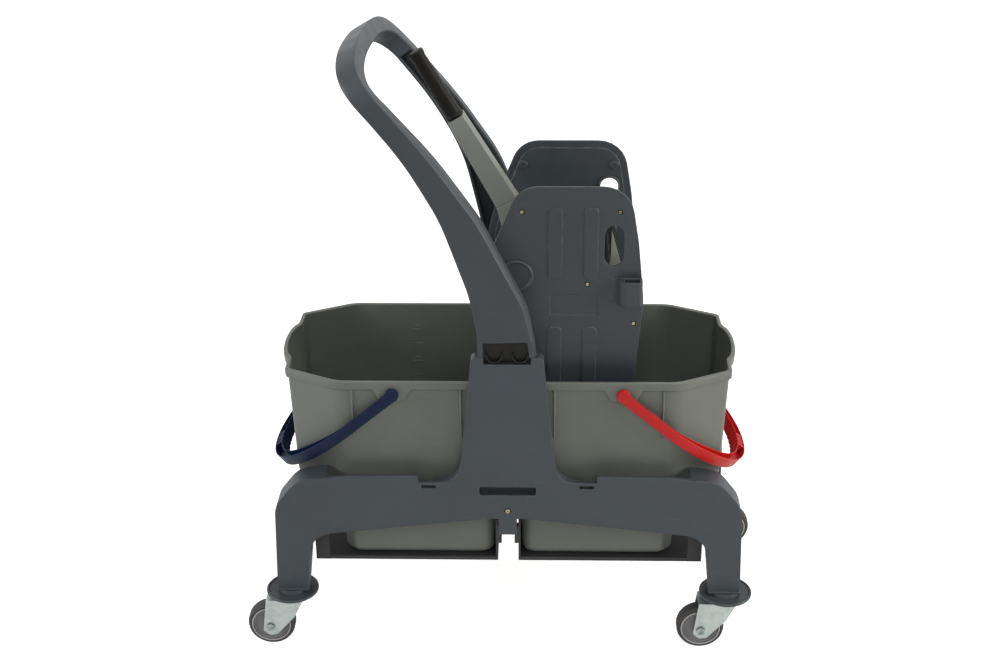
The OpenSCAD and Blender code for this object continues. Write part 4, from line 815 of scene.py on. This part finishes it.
# the sieve is dark in the middle and pale towards its ends along Y
ends_mask = band(tree, sums(tree, "ABSOLUTE", ends.outputs["Y"], 0), *SIEVE_ENDS_BAND)
skin = next(step for step in tree.nodes if step.type == "GROUP")
tree.links.new(blend(tree, ends_mask, SIEVE_MIDDLE, SIEVE_PALE), skin.inputs["Colour"])
dress(sieve_grey, "sieve_wall")
dress(jaw_grey, "press_jaw")
dress(zinc, "jaw_pin", "spacer_tube")


# Lever: a grey moulded hub and sleeve on a steel shaft with crank rollers and a return spring,
# ending in a soft black grip that is pushed over the end of the arm.
SPRING_WELD, SPRING_CRISP = 4e-6, math.radians(48)


def even_facets(name):
    """Welds a faceted CAD node and shades it smooth, with edges over the spring's crisp angle left sharp."""
    tree = bpy.data.node_groups.new("even_facets", "GeometryNodeTree")
    tree.interface.new_socket("Geometry", in_out="INPUT", socket_type="NodeSocketGeometry")
    tree.interface.new_socket("Geometry", in_out="OUTPUT", socket_type="NodeSocketGeometry")
    given, result = tree.nodes.new("NodeGroupInput"), tree.nodes.new("NodeGroupOutput")
    weld, bare = tree.nodes.new("GeometryNodeMergeByDistance"), tree.nodes.new("GeometryNodeRemoveAttribute")
    weld.inputs["Distance"].default_value = SPRING_WELD
    bare.inputs["Name"].default_value = "custom_normal"
    faces, edges = tree.nodes.new("GeometryNodeSetShadeSmooth"), tree.nodes.new("GeometryNodeSetShadeSmooth")
    faces.domain, edges.domain = "FACE", "EDGE"
    bend, flat = tree.nodes.new("GeometryNodeInputMeshEdgeAngle"), tree.nodes.new("ShaderNodeMath")
    flat.operation = "LESS_THAN"
    flat.inputs[1].default_value = SPRING_CRISP
    join(tree, (given.outputs[0], bare.inputs["Geometry"]), (bare.outputs[0], weld.inputs["Geometry"]),
         (weld.outputs[0], faces.inputs["Geometry"]), (faces.outputs[0], edges.inputs["Geometry"]),
         (bend.outputs["Unsigned Angle"], flat.inputs[0]), (flat.outputs[0], edges.inputs["Shade Smooth"]),
         (edges.outputs[0], result.inputs[0]))
    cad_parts[name].modifiers.new("even_facets", "NODES").node_group = tree


lever_grey = finish_of("lever_plastic", "moulded_skin", {"Colour": linear(119, 123, 117),
                       "Rubbed": linear(146, 149, 143), "Roughness": 0.44, "Scuffs": 0.4}, GRAIN, edge=0.0018,
                       Specular_IOR_Level=0.45)
dress(lever_grey, "lever_hub", "lever_arm")
dress(zinc, "pivot_shaft", "crank_rollers", "return_spring")
even_facets("return_spring")
grip_black = finish_of("grip_rubber", "rubber_skin", {"Colour": linear(20, 19, 16), "Dust": linear(34, 32, 29),
                       "Roughness": 0.45, "Dusty": 0.2}, (0.1, 0.0003), Specular_IOR_Level=0.14)
PIVOT, LEVER_LEAN, LEVER_OFF = np.array([0.013, 0.0, 0.624]), math.radians(30), 0.026
GRIP_FOOT, GRIP_L, GRIP_R, GRIP_POWER, GRIP_FLAT = 0.225, 0.113, 0.0135, 2 / 2.6, 0.97
GRIP_RIBS, RIB_DEEP = 30, 0.00022


def grip_grid():
    """Soft grip: a rounded square section (superellipse of power 2.6) whose radius follows a collar, a taper and a
    smaller collar up the lever, with shallow ribs along it between the collars."""
    at = np.array([0, 0.4, 1.2, 5, 5.8, 6.6, 8, 14, 40, 68, 92, 103, 104, 105, 106, 111, 112, 112.7, 113]) / 113
    wide = np.array([0.90, 0.96, 1.0, 1.0, 0.96, 0.93, 0.925, 0.925, 0.89, 0.86, 0.82, 0.79, 0.81, 0.86, 0.87, 0.87,
                     0.85, 0.80, 0.70])
    s = np.sort(np.concatenate([np.linspace(0.06, 0.91, 60), at]))
    r = np.interp(s, at, wide) * GRIP_R
    a = np.linspace(0, 2 * np.pi, 120, endpoint=False)
    x, y = (np.sign(f) * np.abs(f) ** GRIP_POWER * GRIP_FLAT for f in (np.cos(a), np.sin(a)))
    between = ease((s - 0.08) / 0.05) * ease((0.90 - s) / 0.05)
    r = r[:, None] - RIB_DEEP * between[:, None] * (0.5 + 0.5 * np.cos(GRIP_RIBS * a))
    up = np.array([-math.sin(LEVER_LEAN), 0, math.cos(LEVER_LEAN)])
    right = np.array([math.cos(LEVER_LEAN), 0, math.sin(LEVER_LEAN)])
    return (PIVOT + right * LEVER_OFF + up * (GRIP_FOOT + s * GRIP_L)[:, None, None]
            + right * (r * x)[..., None] + np.array([0, 1.0, 0]) * (r * y)[..., None])


mesh_piece("grip_sleeve", [(grip_grid(), False)], grip_black, "lever", "lever_grip")
